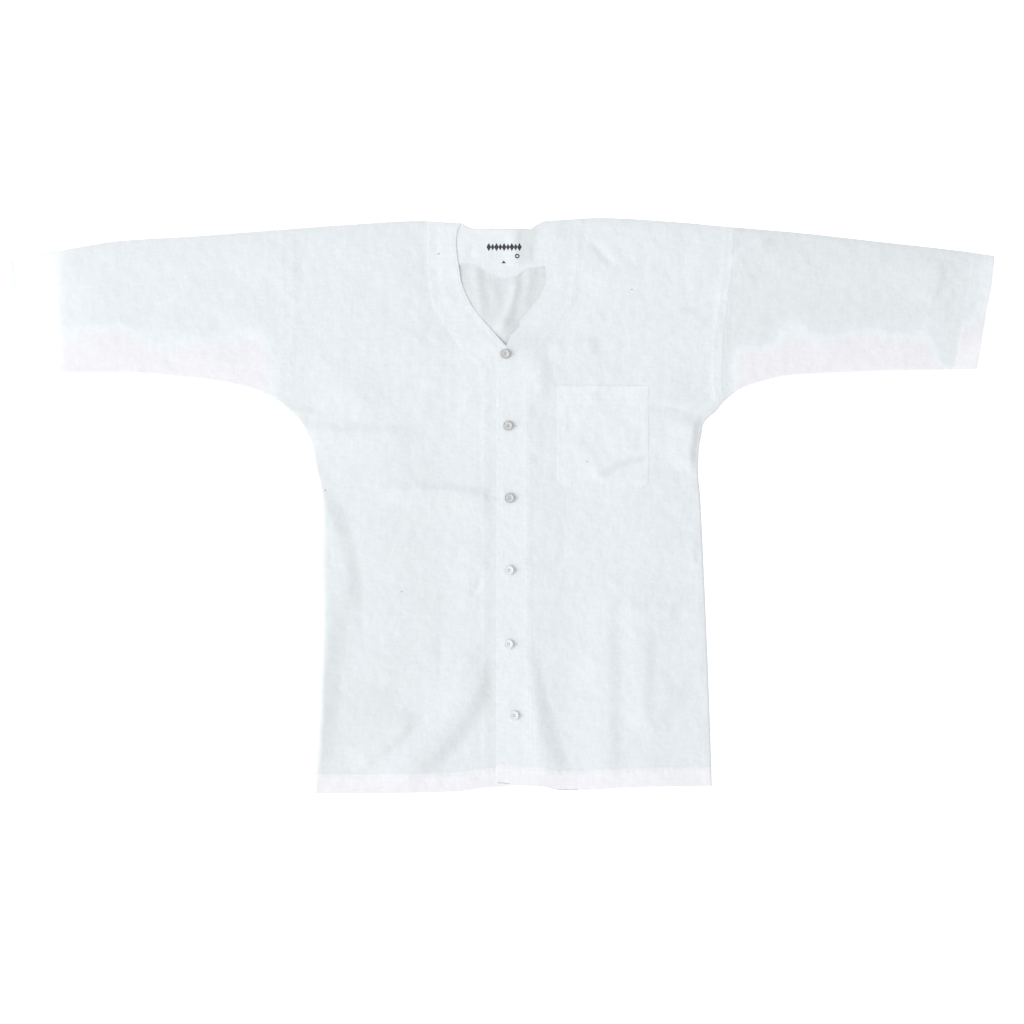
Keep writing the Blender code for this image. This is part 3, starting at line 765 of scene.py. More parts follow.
weave = bpy.data.node_groups.new("slubby_weave", "ShaderNodeTree")
for socket_name, socket_kind in (
    ("Bolt", "NodeSocketVector"), ("Seams", "NodeSocketVector"),
    ("Crumple", "NodeSocketFloat"), ("Slub", "NodeSocketFloat"), ("Pucker", "NodeSocketFloat"),
):
    weave.interface.new_socket(name=socket_name, in_out="INPUT", socket_type=socket_kind)
for socket_name in ("Height", "Tone"):
    weave.interface.new_socket(name=socket_name, in_out="OUTPUT", socket_type="NodeSocketFloat")

given = weave.nodes.new("NodeGroupInput").outputs
bolt, seams_map = given["Bolt"], given["Seams"]
print("sockets of the weave", len(weave.interface.items_tree))

# %% Threads, slubs and crumple
SLUB_START, SLUB_END = 0.54, 0.74
WARP_COUNT, WEFT_COUNT = 330.0, 290.0
warp_slubs = rise(weave, noise(weave, bolt, (420, 60, 1)), SLUB_START, SLUB_END)
weft_slubs = rise(weave, noise(weave, bolt, (60, 420, 1)), SLUB_START, SLUB_END)
slubs = math_node(weave, "MAXIMUM", warp_slubs, weft_slubs)
bars = math_node(weave, "ADD", noise(weave, bolt, (240, 75, 1)), noise(weave, bolt, (75, 240, 1)))
warp_thread = add_node(weave, "ShaderNodeTexWave", {"Scale": WARP_COUNT}, bands_direction="X")
weft_thread = add_node(weave, "ShaderNodeTexWave", {"Scale": WEFT_COUNT}, bands_direction="Y")
for thread in (warp_thread, weft_thread):
    weave.links.new(bolt, thread.inputs["Vector"])
threads = math_node(weave, "ADD", warp_thread.outputs["Fac"], weft_thread.outputs["Fac"])

SMALL_CRUMPLE = 0.15
crumple_large, crumple_small = noise(weave, bolt, (80, 80, 1)), noise(weave, bolt, (230, 230, 1))
crumple = with_share(weave, crumple_large, crumple_small, SMALL_CRUMPLE)
mottle = noise(weave, bolt, (60, 60, 1), 4.0, 0.6)
print("nodes for threads, slubs and crumple", len(weave.nodes))

# %% Puckers, heights and tones
PUCKER_REACH, GROOVE_HALF, GROOVE_REACH = 9.0, 0.1, 1.3
THREAD_HEIGHT, GROOVE_DEPTH = 0.00002, 0.00004
PLAIN_TONE, SLUB_TONE, MOTTLE_TONE, BAR_TONE, GROOVE_TONE = 0.898, 0.015, 0.07, 0.067, 0.006
apart = weave.nodes.new("ShaderNodeSeparateXYZ")
weave.links.new(seams_map, apart.inputs[0])
upright_seam = math_node(weave, "ABSOLUTE", apart.outputs["X"])
level_seam = math_node(weave, "ABSOLUTE", apart.outputs["Y"])
pucker_parts, groove_parts = [], []
for seam, stretch in ((upright_seam, (40, 190, 1)), (level_seam, (190, 40, 1))):
    beside_seam = fall(weave, seam, 0, PUCKER_REACH)
    pucker_parts.append(math_node(weave, "MULTIPLY", beside_seam, noise(weave, bolt, stretch)))
    groove_parts.append(fall(weave, seam, GROOVE_HALF, GROOVE_REACH))
puckers = math_node(weave, "ADD", *pucker_parts)
grooves = math_node(weave, "MAXIMUM", *groove_parts)

height = math_node(weave, "MULTIPLY", crumple, given["Crumple"])
for part, share in ((slubs, given["Slub"]), (threads, THREAD_HEIGHT), (puckers, given["Pucker"])):
    height = with_share(weave, height, part, share)
height = with_share(weave, height, grooves, GROOVE_DEPTH, "SUBTRACT")
tone = PLAIN_TONE
for part, share in ((slubs, SLUB_TONE), (mottle, MOTTLE_TONE), (bars, BAR_TONE)):
    tone = with_share(weave, tone, part, share)
tone = with_share(weave, tone, grooves, GROOVE_TONE, "SUBTRACT")

given_out = weave.nodes.new("NodeGroupOutput")
weave.links.new(height, given_out.inputs["Height"])
weave.links.new(tone, given_out.inputs["Tone"])
print("nodes in the weave", len(weave.nodes))

# %% [markdown]
# ## Cotton for the panels and for the facing
#
# Thin white cotton lets some light through, so its colour depends on what is under it. It is
# palest where it is doubled over the white floor, in the hems, and greyest where one layer lies
# alone, inside the neck, a grey that partly paints the shade there. Real translucence would need
# many light paths, so the layers map picks the colour from a ramp. The same map carries painted
# shade low on the right front, along the side seams, in a pocket crease, at the facing's end and
# lower rim, and on the left sleeve, and painted light along the sleeves' undersides. The facing
# is turned and pressed, so it is less crumpled.

# %% Cotton materials
LAYER_COLOURS = (
    (SINGLE, (0.700, 0.737, 0.752)), (PAIR, (0.755, 0.797, 0.822)), (LINED, (0.800, 0.845, 0.871)),
    (SEAMED, (0.811, 0.814, 0.848)), (DOUBLED, (0.853, 0.862, 0.891)),
)


def colour_ramp(tree, factor, stops):
    """A colour that goes through the given stops as a factor rises from 0 to 1."""
    ramp = add_node(tree, "ShaderNodeValToRGB")
    for place, _ in stops[1:-1]:
        ramp.color_ramp.elements.new(place)
    for stop, (place, colour) in zip(ramp.color_ramp.elements, stops):
        stop.position, stop.color = place, (*colour, 1)
    tree.links.new(factor, ramp.inputs["Fac"])
    return ramp.outputs["Color"]


def add_relief(tree, height, distance, strength):
    """Bumps the tree's surface by a height."""
    relief = add_node(tree, "ShaderNodeBump", {"Distance": distance, "Strength": strength})
    tree.links.new(height, relief.inputs["Height"])
    tree.links.new(relief.outputs["Normal"], tree.nodes["Principled BSDF"].inputs["Normal"])


COTTON_ROUGHNESS = 0.86
COTTON_FINISH = {"Sheen Weight": 0.08, "Sheen Roughness": 0.5, "Specular IOR Level": 0.2}


def cotton(name, crumple, slub, pucker):
    """Cotton of the slubby weave, with the heights of its crumple, slubs and puckers in metres."""
    material = plain_material(name, LAYER_COLOURS[1][1], COTTON_ROUGHNESS)
    tree = material.node_tree
    shader = tree.nodes["Principled BSDF"]
    for socket, value in COTTON_FINISH.items():
        shader.inputs[socket].default_value = value
    pattern = add_node(tree, "ShaderNodeGroup", node_tree=weave)
    for socket, value in (("Crumple", crumple), ("Slub", slub), ("Pucker", pucker)):
        pattern.inputs[socket].default_value = value
    maps = {}
    for uv_map in ("bolt", "seams", "layers"):
        maps[uv_map] = add_node(tree, "ShaderNodeUVMap", uv_map=uv_map).outputs["UV"]
    tree.links.new(maps["bolt"], pattern.inputs["Bolt"])
    tree.links.new(maps["seams"], pattern.inputs["Seams"])
    cover_and_painted_shading = tree.nodes.new("ShaderNodeSeparateXYZ")
    tree.links.new(maps["layers"], cover_and_painted_shading.inputs[0])
    toned = add_node(tree, "ShaderNodeVectorMath", operation="SCALE")
    tree.links.new(colour_ramp(tree, cover_and_painted_shading.outputs["X"], LAYER_COLOURS), toned.inputs[0])
    tree.links.new(pattern.outputs["Tone"], toned.inputs["Scale"])
    tree.links.new(toned.outputs["Vector"], shader.inputs["Base Color"])
    add_relief(tree, pattern.outputs["Height"], 1.0, 1.0)
    return material


panel_cotton = cotton("slubby_cotton", 0.0008, 0.00004, 0.0004)
facing_cotton = cotton("facing_cotton", 0.0005, 0.00003, 0.0004)
print("cotton materials", panel_cotton.name, facing_cotton.name)

# %% [markdown]
# ## The fronts
#
# A front runs from its free edge and neckline out to its side and armhole seams. An even grid cut
# to shape would leave ragged edges, so columns of points follow the band and the felled seam,
# whose steps stay crisp, and rows crowd together at the hem and the shoulder, where the cloth
# turns.

# %% The fronts' seams
EDGE_TURN = (0.25, 0.8)
CLOSED_TURN = (0.12, 0.5, 1.1, 1.9, 2.9, 4.0)
BAND_STITCH, FELL_STITCHES, HEM_STITCH, EDGE_STITCH = 2.0, (1.6, 10.4), 21.0, 3.2


def turned(distance_in, thickness):
    """How far a surface falls where its free edge is rounded over half its thickness."""
    half = 0.5 * thickness
    return half * (1 - rounded(distance_in / half))


def turned_hem(depth):
    """Where points crowd together at a free edge and at the inner step of its hem."""
    return (*EDGE_TURN, depth, depth + 0.5 * STEP, depth + STEP)


def front_seams(side, x, y):
    """How far plan points are from the nearest upright and level stitch lines of a front."""
    out = OUTWARD[side]
    from_armhole = np.where(y > UNDERARM[side], (armhole[side](y) - x) * out, FAR)
    upright_seams = nearest(
        EDGE_STITCH - (x - neck[side](y)) * out,
        (x - band[side](y)) * out + BAND_STITCH,
        from_armhole - FELL_STITCHES[1],
        FELL_STITCHES[0] - from_armhole,
    )
    level_seams = y - hem[side](x) - HEM_STITCH
    return np.stack([upright_seams, level_seams], axis=-1)


print("stitch lines from the edges in mm", EDGE_STITCH, BAND_STITCH, FELL_STITCHES, HEM_STITCH)

# %% Fronts
GRID, PANEL_LENGTH = 2.5, 740
BAND_WIDTH, FRONT_WIDTH = 42, 225
PRESSED_BY, LEAST_WALL, LOWEST_FRONT = 0.45, 0.02, EDGE_HEIGHT - 0.1


def front(side):
    out, outer = OUTWARD[side], outer_line(side)
    rails = [
        neck[side],
        band[side],
        lambda y: band[side](y) + out * STEP,
        lambda y: outer(y) - out * (FELL_WIDTH + STEP),
        lambda y: outer(y) - out * FELL_WIDTH,
        outer,
    ]
    columns = np.concatenate([
        spread(BAND_WIDTH, GRID, EDGE_TURN), [1.5],
        2 + spread(FRONT_WIDTH, GRID), [3.5],
        4 + spread(FELL_WIDTH, GRID, (), CLOSED_TURN),
    ])
    rows = spread(PANEL_LENGTH, GRID, turned_hem(HEM_DEPTH), CLOSED_TURN)
    rows = np.unique(np.concatenate([rows, spread(HEM_DEPTH, GRID) * HEM_DEPTH / PANEL_LENGTH]))
    x, y = plan(columns, rows, rails, hem[side], shoulder)
    top = front_skin(side, x, y)
    wall = THIN + front_raise(side, x, y) - (PRESSED_BY * pressed_edge(x, y) if side == "left" else 0)
    free = np.minimum((x - neck[side](y)) * out, y - hem[side](x))
    fall_at_edge = turned(free, wall)
    lower = np.maximum(top - wall + fall_at_edge, LOWEST_FRONT)
    upper = np.maximum(top - fall_at_edge, lower + LEAST_WALL)
    piece = shell(
        f"front_{side}_cloth", panel_cotton, stacked(x, y, upper), stacked(x, y, lower),
        front_seams(side, x, y), front_cover_and_painted_shade(side, x, y),
    )
    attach(piece, "root")
    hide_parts(f"front_{side}")
    return piece


front_cloth = {side: front(side) for side in OUTWARD}

# %% [markdown]
# ## The back
#
# The back is one panel, flat on the floor. Its sides curl up to meet the fronts at half the
# height of the fold. Only its neck shows from above, with a fold that runs down inside, so its
# grid is fine there and coarse under the fronts.

# %% Back
BACK_GRID, BACK_WIDTH = 6, 530
NECK_PART, NECK_ROWS = (-64, 70), (560, 730)
ARMHOLE_AT_NECK, ARMHOLE_SPAN = 278, 565
NECK_SHARES, COLUMN_GAP = (0.75, 0.985), 0.006
NECK_SIDES, NECK_BASE = (64, 50), (180, 210)
BACK_EDGE, DEEPEST_BACK_FOLD = EDGE_HEIGHT - 0.2, -0.3
UNDER_FOLDS_FROM, HIGHEST_UNDER_FOLD = (20, 40), 0.5
BACK_FOLDS = [
    Fold(16, 306, 24, 268, -8, 218, 6.8, -2.3),
    Fold(36, 318, 36, 286, 26, 246, 7, -1.2),
    Fold(-33, 322, -34, 284, -22, 236, 7, -1.3),
    Fold(-14, 296, -9, 268, -2, 226, 8, -0.5),
    Fold(6, 246, 6, 212, 6, 178, 14, -2.4),
]
UNDER_FOLDS = [
    Fold(-180, 250, -60, 262, 90, 248, 9, 0.9),
    Fold(-150, 120, -100, -60, -140, -250, 10, 0.8),
    Fold(60, 160, 90, 0, 70, -190, 9, 0.8),
    Fold(160, 60, 190, -120, 170, -300, 8, 0.7),
    Fold(-60, -120, -30, -220, -50, -330, 8, 0.8),
]


def back():
    rails = [outer_line("right"), outer_line("left")]
    columns = spread(BACK_WIDTH, BACK_GRID, CLOSED_TURN, CLOSED_TURN)
    neck_columns = (np.arange(*NECK_PART, GRID) + ARMHOLE_AT_NECK) / ARMHOLE_SPAN
    far_from_neck = (columns < neck_columns[0] - COLUMN_GAP) | (columns > neck_columns[-1] + COLUMN_GAP)
    columns = np.unique(np.concatenate([columns[far_from_neck], neck_columns]))
    rows = spread(PANEL_LENGTH, BACK_GRID, EDGE_TURN, CLOSED_TURN)
    neck_rows = np.arange(*NECK_ROWS, GRID) / PANEL_LENGTH
    above_or_below = (rows < NECK_SHARES[0]) | (rows > NECK_SHARES[1])
    rows = np.unique(np.concatenate([rows[above_or_below], neck_rows]))
    x, y = plan(columns, rows, rails, hem["back"], back_top)
    near = to_closed_edge(x, y)
    at_hem = turned(y - hem["back"](x), CLOTH)
    in_neck = soft_step(np.abs(x), *NECK_SIDES) * soft_step(y, *NECK_BASE)
    under = np.maximum(-fold_height(x, y, UNDER_FOLDS), 0) * soft_step(near, *UNDER_FOLDS_FROM)
    lower = BACK_EDGE * (1 - rounded(near / EDGE_REACH)) + at_hem + np.minimum(under, HIGHEST_UNDER_FOLD)
    upper = CLOTH - at_hem + np.maximum(fold_height(x, y, BACK_FOLDS) * in_neck, DEEPEST_BACK_FOLD)
    seams = np.stack([np.full_like(x, FAR), y - hem["back"](x) - HEM_STITCH], axis=-1)
    # The single layer's grey is partly the cloth's own and partly painted shade inside the neck opening.
    piece = shell("back_cloth", panel_cotton, stacked(x, y, upper), stacked(x, y, lower), seams, SINGLE)
    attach(piece, "root")
    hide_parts("back")
    return piece


back_cloth = back()

# %% [markdown]
# ## The sleeves
#
# A sleeve is a tube that lies flat. The top edge is a fold, the lower edge is the underarm seam,
# and the cuff is open, with a turned hem. Two flat panels would leave both long edges open, so its
# rings run all round, over the upper cloth and back under the lower one, and are bridged shut.

# %% The sleeves' layers
CUFF_STITCH = 25.0
SEAM_EDGE_WAVES = (17, 60, 160, 8)
# The sleeve value below paints shade on the left sleeve. The seam strip is paler partly for the seam's extra
# cloth and partly as painted light from below, and the lower cuff is paler with painted light from below.
SLEEVE_SHADE, SEAM_AND_LIGHT_TONE = {"right": 0.0, "left": -0.15}, {"right": 0.24, "left": 0.42}
SEAM_START, SEAM_BREADTH = (280, 314), (74, 32)
SEAM_END, SEAM_END_FADE = {"right": 700, "left": 583}, 44
SEAM_END_SLANT, SLANT_BREADTH = 55, (26, 8)
CUFF_TONE, LOW_CUFF_LIGHT, LOW_CUFF = 0.15, 0.45, (250, 190)
RIM_TONE, RIM_DEPTH = {"right": -0.2, "left": 0.14}, 9.0


def sleeve_cover_and_painted_light(side, x, y):
    """How much cloth lies under each point, with painted light along the underarm and painted shade on the
    left sleeve.
    """
    to_bottom = distance(x, y, sleeve_seams[side]) + waves(x, y, *SEAM_EDGE_WAVES)
    from_middle = np.abs(x)
    seam_end = SEAM_END[side] + SEAM_END_SLANT * soft_step(to_bottom, *SLANT_BREADTH)
    ends = soft_step(from_middle, *SEAM_START) * smooth((seam_end - from_middle) / SEAM_END_FADE)
    # A broad pale strip along the underarm: the seam's own extra cloth, and painted light from below on top
    # of it.
    along_seam = SEAM_AND_LIGHT_TONE[side] * soft_step(to_bottom, *SEAM_BREADTH) * ends
    to_cuff = (cuff[side](y) - x) * OUTWARD[side]
    # The cuff hem is paler for its doubled cloth, and its lower part more so with painted light from below.
    in_cuff = (CUFF_TONE + LOW_CUFF_LIGHT * soft_step(y, *LOW_CUFF)) * beyond(to_cuff, CUFF_DEPTH)
    in_rim = RIM_TONE[side] * beyond(to_cuff, RIM_DEPTH)
    # Painted shade darkens the whole left sleeve.
    return PAIR + SLEEVE_SHADE[side] + np.maximum(along_seam, in_cuff) + in_rim


print("the seam's pale cloth ends in mm from the middle at", SEAM_END)

# %% Sleeves
SLEEVE_LENGTH, SLEEVE_DEPTH, SLEEVE_GRID = 340, 190, 3
SLEEVE_LEAN, ARMHOLE_GAP, LAYER_GAP = 0.045, 0.02, 0.03


def sleeve(side):
    out, bottom = OUTWARD[side], sleeve_bottom[side]
    stations = spread(SLEEVE_LENGTH, SLEEVE_GRID, (), turned_hem(CUFF_DEPTH))
    rails = [lambda y: armhole[side](y) + out * ARMHOLE_GAP, cuff[side]]
    half = spread(SLEEVE_DEPTH, SLEEVE_GRID, CLOSED_TURN, CLOSED_TURN)
    around = np.concatenate([half, half[-2:0:-1]])
    is_top = np.arange(len(around)) < len(half)
    shrink = 1 - 2 * (THIN + 0.1) / SLEEVE_DEPTH

    def layer(outside):
        across = around if outside else 0.5 + (around - 0.5) * shrink
        x, y = (grid.T for grid in plan(stations, across, rails, bottom, shoulder))
        near = to_closed_edge(x, y)
        raised = CUFF_RAISE * beyond((cuff[side](y) - x) * out, CUFF_DEPTH)
        under = EDGE_HEIGHT * (1 - rounded(near / EDGE_REACH))
        over = upper_skin(x, y) + raised
        at_cuff = turned((cuff[side](y) - x) * out, THIN + raised)
        if outside:
            z = np.where(is_top, over - at_cuff, under + at_cuff)
        else:
            z = np.where(
                is_top, np.maximum(over - THIN - raised + at_cuff, EDGE_HEIGHT + LAYER_GAP),
                np.minimum(under + THIN + raised - at_cuff, EDGE_HEIGHT - LAYER_GAP),
            )
        return stacked(x, y, z)

    outer, inner = layer(True), layer(False)
    x, y = outer[..., 0], outer[..., 1]
    upright_seams = nearest((cuff[side](y) - x) * out - CUFF_STITCH, (x - armhole[side](y)) * out)
    seams = np.stack([upright_seams, np.full_like(x, FAR)], axis=-1)
    cover_and_painted_shading, lean = sleeve_cover_and_painted_light(side, x, y), -out * SLEEVE_LEAN
    piece = shell(f"sleeve_{side}_cloth", panel_cotton, outer, inner, seams, cover_and_painted_shading, grain=lean, ring=True)
    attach(piece, "root")
    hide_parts(f"sleeve_{side}")
    return piece


sleeve_cloth = {side: sleeve(side) for side in OUTWARD}

# %% [markdown]
# ## The facing inside the neck
#
# A half-moon of cotton is sewn inside the back of the neck. Its curved lower edge is stitched
# down, and its ends run under the fronts. It is laid like the other panels, on its own fine grid.
# The shade of the left front's collar falls on its end.

# %% Facing
FACING_TUCK, FACING_STITCH = 9.0, 2.0
FACING_BASE = CLOTH + SEAM_GAP
FACING_GRID, FACING_WIDTH, FACING_DEPTH, FACING_DROP = 1.6, 126, 60, 0.6
FACING_TONE, FACING_SHADE, FACING_RIM = 0.06, 0.5, 1.2
SHADE_START, SHADE_END, SHADE_BASE = (16, 25), (48, 40), (308, 322)
FACING_WAVES, DEEPEST_RIPPLE = (21, 14, 40, 0.08), -0.5
FACING_FOLDS = [
    Fold(12, 362, 15, 334, 16, 304, 8, -0.9),
    Fold(-40, 344, -38, 330, -41, 314, 5, 0.5),
    Fold(40, 340, 38, 325, 42, 310, 4, 0.5),
]


def facing_skin(x, y):
    ripple = fold_height(x, y, FACING_FOLDS) + waves(x, y, *FACING_WAVES)
    return FACING_BASE + FACING_CLOTH + np.maximum(ripple, DEEPEST_RIPPLE)


def facing_top(x):
    return back_top(x) - FACING_DROP


def facing():
    rails = [lambda y: neck["right"](y) - FACING_TUCK, lambda y: neck["left"](y) + FACING_TUCK]
    columns = spread(FACING_WIDTH, FACING_GRID)
    rows = spread(FACING_DEPTH, FACING_GRID, EDGE_TURN, EDGE_TURN)
    x, y = plan(columns, rows, rails, facing_bottom, facing_top)
    upper = facing_skin(x, y) - turned(np.minimum(y - facing_bottom(x), facing_top(x) - y), FACING_CLOTH)
    lower = np.full_like(x, FACING_BASE - 0.1)
    seams = np.stack([np.full_like(x, FAR), y - facing_bottom(x) - FACING_STITCH], axis=-1)
    shade = soft_step(x, *SHADE_START) * soft_step(x, *SHADE_END) * soft_step(y, *SHADE_BASE)
    shade = shade + smooth(2 - (y - facing_bottom(x)) / FACING_RIM)
    cover_and_painted_shading = np.clip(PAIR + FACING_TONE - FACING_SHADE * shade, SINGLE, DOUBLED)
    piece = shell(
        "neck_facing_cloth", facing_cotton, stacked(x, y, np.maximum(upper, lower + 0.1)),
        stacked(x, y, lower), seams, cover_and_painted_shading,
    )
    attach(piece, "root")
    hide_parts("neck_facing_back")
    return piece


facing_cloth = facing()

# %% [markdown]
# ## The pocket
#
# The patch pocket is sewn on at its sides and bottom, with rounded lower corners. Its edges are
# turned in by a centimetre, which shows as a slightly raised border, and its mouth is hemmed. It
# is laid over the left front's own height, so it follows the folds under it.

# %% The pocket's form
POCKET_TOP, POCKET_BOTTOM = 154.5, 22.9
POCKET_INNER, POCKET_OUTER = 71.0, 189.0
POCKET_CURVE_INNER, POCKET_CURVE_OUTER = 18.0, 11.6
POCKET_HEM, POCKET_HEM_RAISE = 20.0, 0.06
POCKET_TURN, POCKET_TURN_RAISE = 9.0, 0.06
POCKET_WALL, POCKET_SWELL, POCKET_HELD = 0.16, 0.25, 14
POCKET_WAVES = (31, 16, 50, 0.12)
POCKET_FOLDS = [
    Fold(124, 38, 150, 54, 176, 66, 4.5, 1.1),
    Fold(120, 62, 132, 70, 146, 72, 3, 0.4),
    Fold(84, 120, 92, 108, 90, 92, 4, 0.4),
    Fold(160, 118, 168, 100, 166, 84, 4, 0.4),
]


def pocket_side(edge, inward, radius):
    """The pocket's side line, which rounds the lower corner."""
    def line(y):
        into = np.clip(radius - (y - POCKET_BOTTOM), 0, radius)
        return edge + inward * (radius - np.sqrt(radius**2 - into**2))
    return line


pocket_sides = [
    pocket_side(POCKET_INNER, 1, POCKET_CURVE_INNER), pocket_side(POCKET_OUTER, -1, POCKET_CURVE_OUTER)
]


def inside_pocket(x, y):
    """How far a plan point is from the pocket's sides and bottom."""
    def corner(edge, inward, radius):
        across, up = (x - edge) * inward, y - POCKET_BOTTOM
        in_corner = (across < radius) & (up < radius)
        round_end = radius - np.hypot(radius - across, radius - up)
        return np.where(in_corner, round_end, np.minimum(across, up))

    return np.minimum(
        corner(POCKET_INNER, 1, POCKET_CURVE_INNER), corner(POCKET_OUTER, -1, POCKET_CURVE_OUTER)
    )


def pocket_skin(x, y):
    inside = inside_pocket(x, y)
    in_hem, in_turn = beyond(POCKET_TOP - y, POCKET_HEM), beyond(inside, POCKET_TURN)
    creases = fold_height(x, y, POCKET_FOLDS) + waves(x, y, *POCKET_WAVES)
    raised = np.maximum(POCKET_HEM_RAISE * in_hem, POCKET_TURN_RAISE * in_turn)
    swell = (creases + POCKET_SWELL) * smooth(inside / POCKET_HELD)
    return front_skin("left", x, y) + POCKET_WALL + raised + swell


print("pocket in mm", POCKET_OUTER - POCKET_INNER, "by", POCKET_TOP - POCKET_BOTTOM)

# %% Pocket
POCKET_GRID, CORNER_TURN = 1.9, (0.2, 0.5, 1.0, 1.8, 3, 4.5, 6.5)
POCKET_STITCH = 2.0
POCKET_TONE, INNER_TURN_TONE, OUTER_TURN_TONE, MOUTH_TONE = 0.052, 0.055, 0.04, 0.035
# The crease values paint shade along a crease low on the pocket.
POCKET_CREASE, POCKET_CREASE_SHADE = [(134, 42), (152, 54), (184, 62)], -0.34
CREASE_WIDTH, CREASE_FADE = 7, 12


def at_height(height):
    """A level line, or a level surface, at one height."""
    return lambda x, *_: np.full_like(x, height)


def pocket():
    rows = spread(POCKET_TOP - POCKET_BOTTOM, POCKET_GRID, CORNER_TURN, EDGE_TURN)
    columns = spread(POCKET_OUTER - POCKET_INNER, POCKET_GRID, EDGE_TURN, EDGE_TURN)
    x, y = plan(columns, rows, pocket_sides, at_height(POCKET_BOTTOM), at_height(POCKET_TOP))
    inside = np.minimum(inside_pocket(x, y), POCKET_TOP - y)
    lower = front_skin("left", x, y) + 0.04
    upper = np.maximum(pocket_skin(x, y) - turned(inside, POCKET_WALL), lower + 0.1)
    from_inner, from_outer = x - pocket_sides[0](y), pocket_sides[1](y) - x
    upright_seams = nearest(from_inner - POCKET_STITCH, from_outer - POCKET_STITCH)
    level_seams = nearest(y - POCKET_BOTTOM - POCKET_STITCH, POCKET_TOP - y - POCKET_HEM + POCKET_STITCH)
    seams = np.stack([upright_seams, level_seams], axis=-1)
    turn_tones = np.maximum.reduce([
        INNER_TURN_TONE * beyond(from_inner, POCKET_TURN),
        OUTER_TURN_TONE * beyond(from_outer, POCKET_TURN),
        MOUTH_TONE * beyond(POCKET_TOP - y, POCKET_HEM),
    ])
    # Painted shade darkens the cloth along a crease low on the pocket.
    at_crease = smooth(1 - distance(x, y, POCKET_CREASE) / CREASE_WIDTH)
    at_crease = at_crease * smooth(inside_pocket(x, y) / CREASE_FADE)
    cover_and_painted_shading = PAIR + POCKET_TONE + turn_tones + POCKET_CREASE_SHADE * at_crease
    piece = shell("pocket_cloth", panel_cotton, stacked(x, y, upper), stacked(x, y, lower), seams, cover_and_painted_shading)
    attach(piece, "root")
    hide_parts("pocket")
    return piece


pocket_cloth = pocket()

# %% [markdown]
# ## Sewing
#
# A seam could be drawn into the weave, but a drawn stitch has no edge in a low light. So the
# stitches are real: one small grain of thread is modelled, and a copy is laid every three
# millimetres along each seam, half sunk in its groove. All the copies of a seam are one mesh.

# %% Thread
STITCH_LENGTH, STITCH_WIDTH, STITCH_PITCH = 2.3, 0.42, 3.1
SEAM_POINTS = 160
TWIST_SIZE, TWIST_DEPTH, TWIST_STRENGTH = (2200, 2200, 2200), 0.00008, 0.6


def object_place(tree):
    return tree.nodes.new("ShaderNodeTexCoord").outputs["Object"]


thread_cotton = plain_material("sewing_thread", (0.80, 0.82, 0.83), 0.6)
thread_tree = thread_cotton.node_tree
twist = noise(thread_tree, object_place(thread_tree), TWIST_SIZE, 1.0)
add_relief(thread_tree, twist, TWIST_DEPTH, TWIST_STRENGTH)
thread_tree.nodes["Principled BSDF"].inputs["Sheen Weight"].default_value = 0.1

bpy.ops.object.select_all(action="DESELECT")
bpy.ops.mesh.primitive_ico_sphere_add(subdivisions=1, radius=1)
grain_of_thread = bpy.context.object
bpy.ops.object.mode_set(mode="EDIT")
bpy.ops.transform.resize(value=(0.5 * STITCH_LENGTH, 0.5 * STITCH_WIDTH, 0.45 * STITCH_WIDTH))
bpy.ops.object.mode_set(mode="OBJECT")
GRAIN_POINTS = np.array([vertex.co for vertex in grain_of_thread.data.vertices])
GRAIN_FACES = np.array([face.vertices[:] for face in grain_of_thread.data.polygons])
bpy.data.objects.remove(grain_of_thread)


def along(line, pitch):
    """Evenly spaced points along a bent line, with their directions."""
    step = np.diff(line, axis=0)
    reach = np.concatenate([[0], np.cumsum(np.hypot(step[:, 0], step[:, 1]))])
    at = np.arange(0.5 * pitch, reach[-1] - 0.4 * pitch, pitch)
    points = np.stack([np.interp(at, reach, line[:, i]) for i in (0, 1)], axis=-1)
    ahead = np.stack([np.interp(at + 0.5, reach, line[:, i]) for i in (0, 1)], axis=-1)
    return points, ahead - points


def sewn(name, rows, material, sizes=(1, 1, 1)):
    """One mesh of many stitches. Each row is its middle points, their directions and a height function."""
    all_points, all_faces, count = [], [], 0
    for points, direction, skin in rows:
        along_unit = direction / np.hypot(direction[:, 0], direction[:, 1])[:, None]
        grains = GRAIN_POINTS * sizes
        for centre, unit in zip(points, along_unit):
            turned_x = centre[0] + grains[:, 0] * unit[0] - grains[:, 1] * unit[1]
            turned_y = centre[1] + grains[:, 0] * unit[1] + grains[:, 1] * unit[0]
            all_points.append(np.column_stack([turned_x, turned_y, grains[:, 2]]))
            all_faces.append(GRAIN_FACES + count * len(GRAIN_POINTS))
            count += 1
        tops = np.concatenate(all_points[-len(points):])
        tops[:, 2] += skin(tops[:, 0], tops[:, 1])
        all_points[-len(points):] = np.split(tops, len(points))
    mesh = bpy.data.meshes.new(name)
    mesh.from_pydata((np.concatenate(all_points) * MM).tolist(), [], np.concatenate(all_faces).tolist())
    mesh.shade_smooth()
    piece = bpy.data.objects.new(name, mesh)
    bpy.context.collection.objects.link(piece)
    mesh.materials.append(material)
    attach(piece, "root")
    print(name, "stitches", count)


print("faces of one stitch", len(GRAIN_FACES))

# %% Stitch lines
NEAR_HEM, SIDE_GAP = -350, 2
BAND_END, EDGE_END, FELL_END, RIGHT_EDGE_START = 362, 364, 356, 190
CUFF_ENDS, FACING_ENDS = (178, 318), (-50, 48)


def upright_row(line, low, high):
    return along(upright(line, low, high, SEAM_POINTS), STITCH_PITCH)


def level_row(line, start, end):
    return along(level(line, start, end, SEAM_POINTS), STITCH_PITCH)


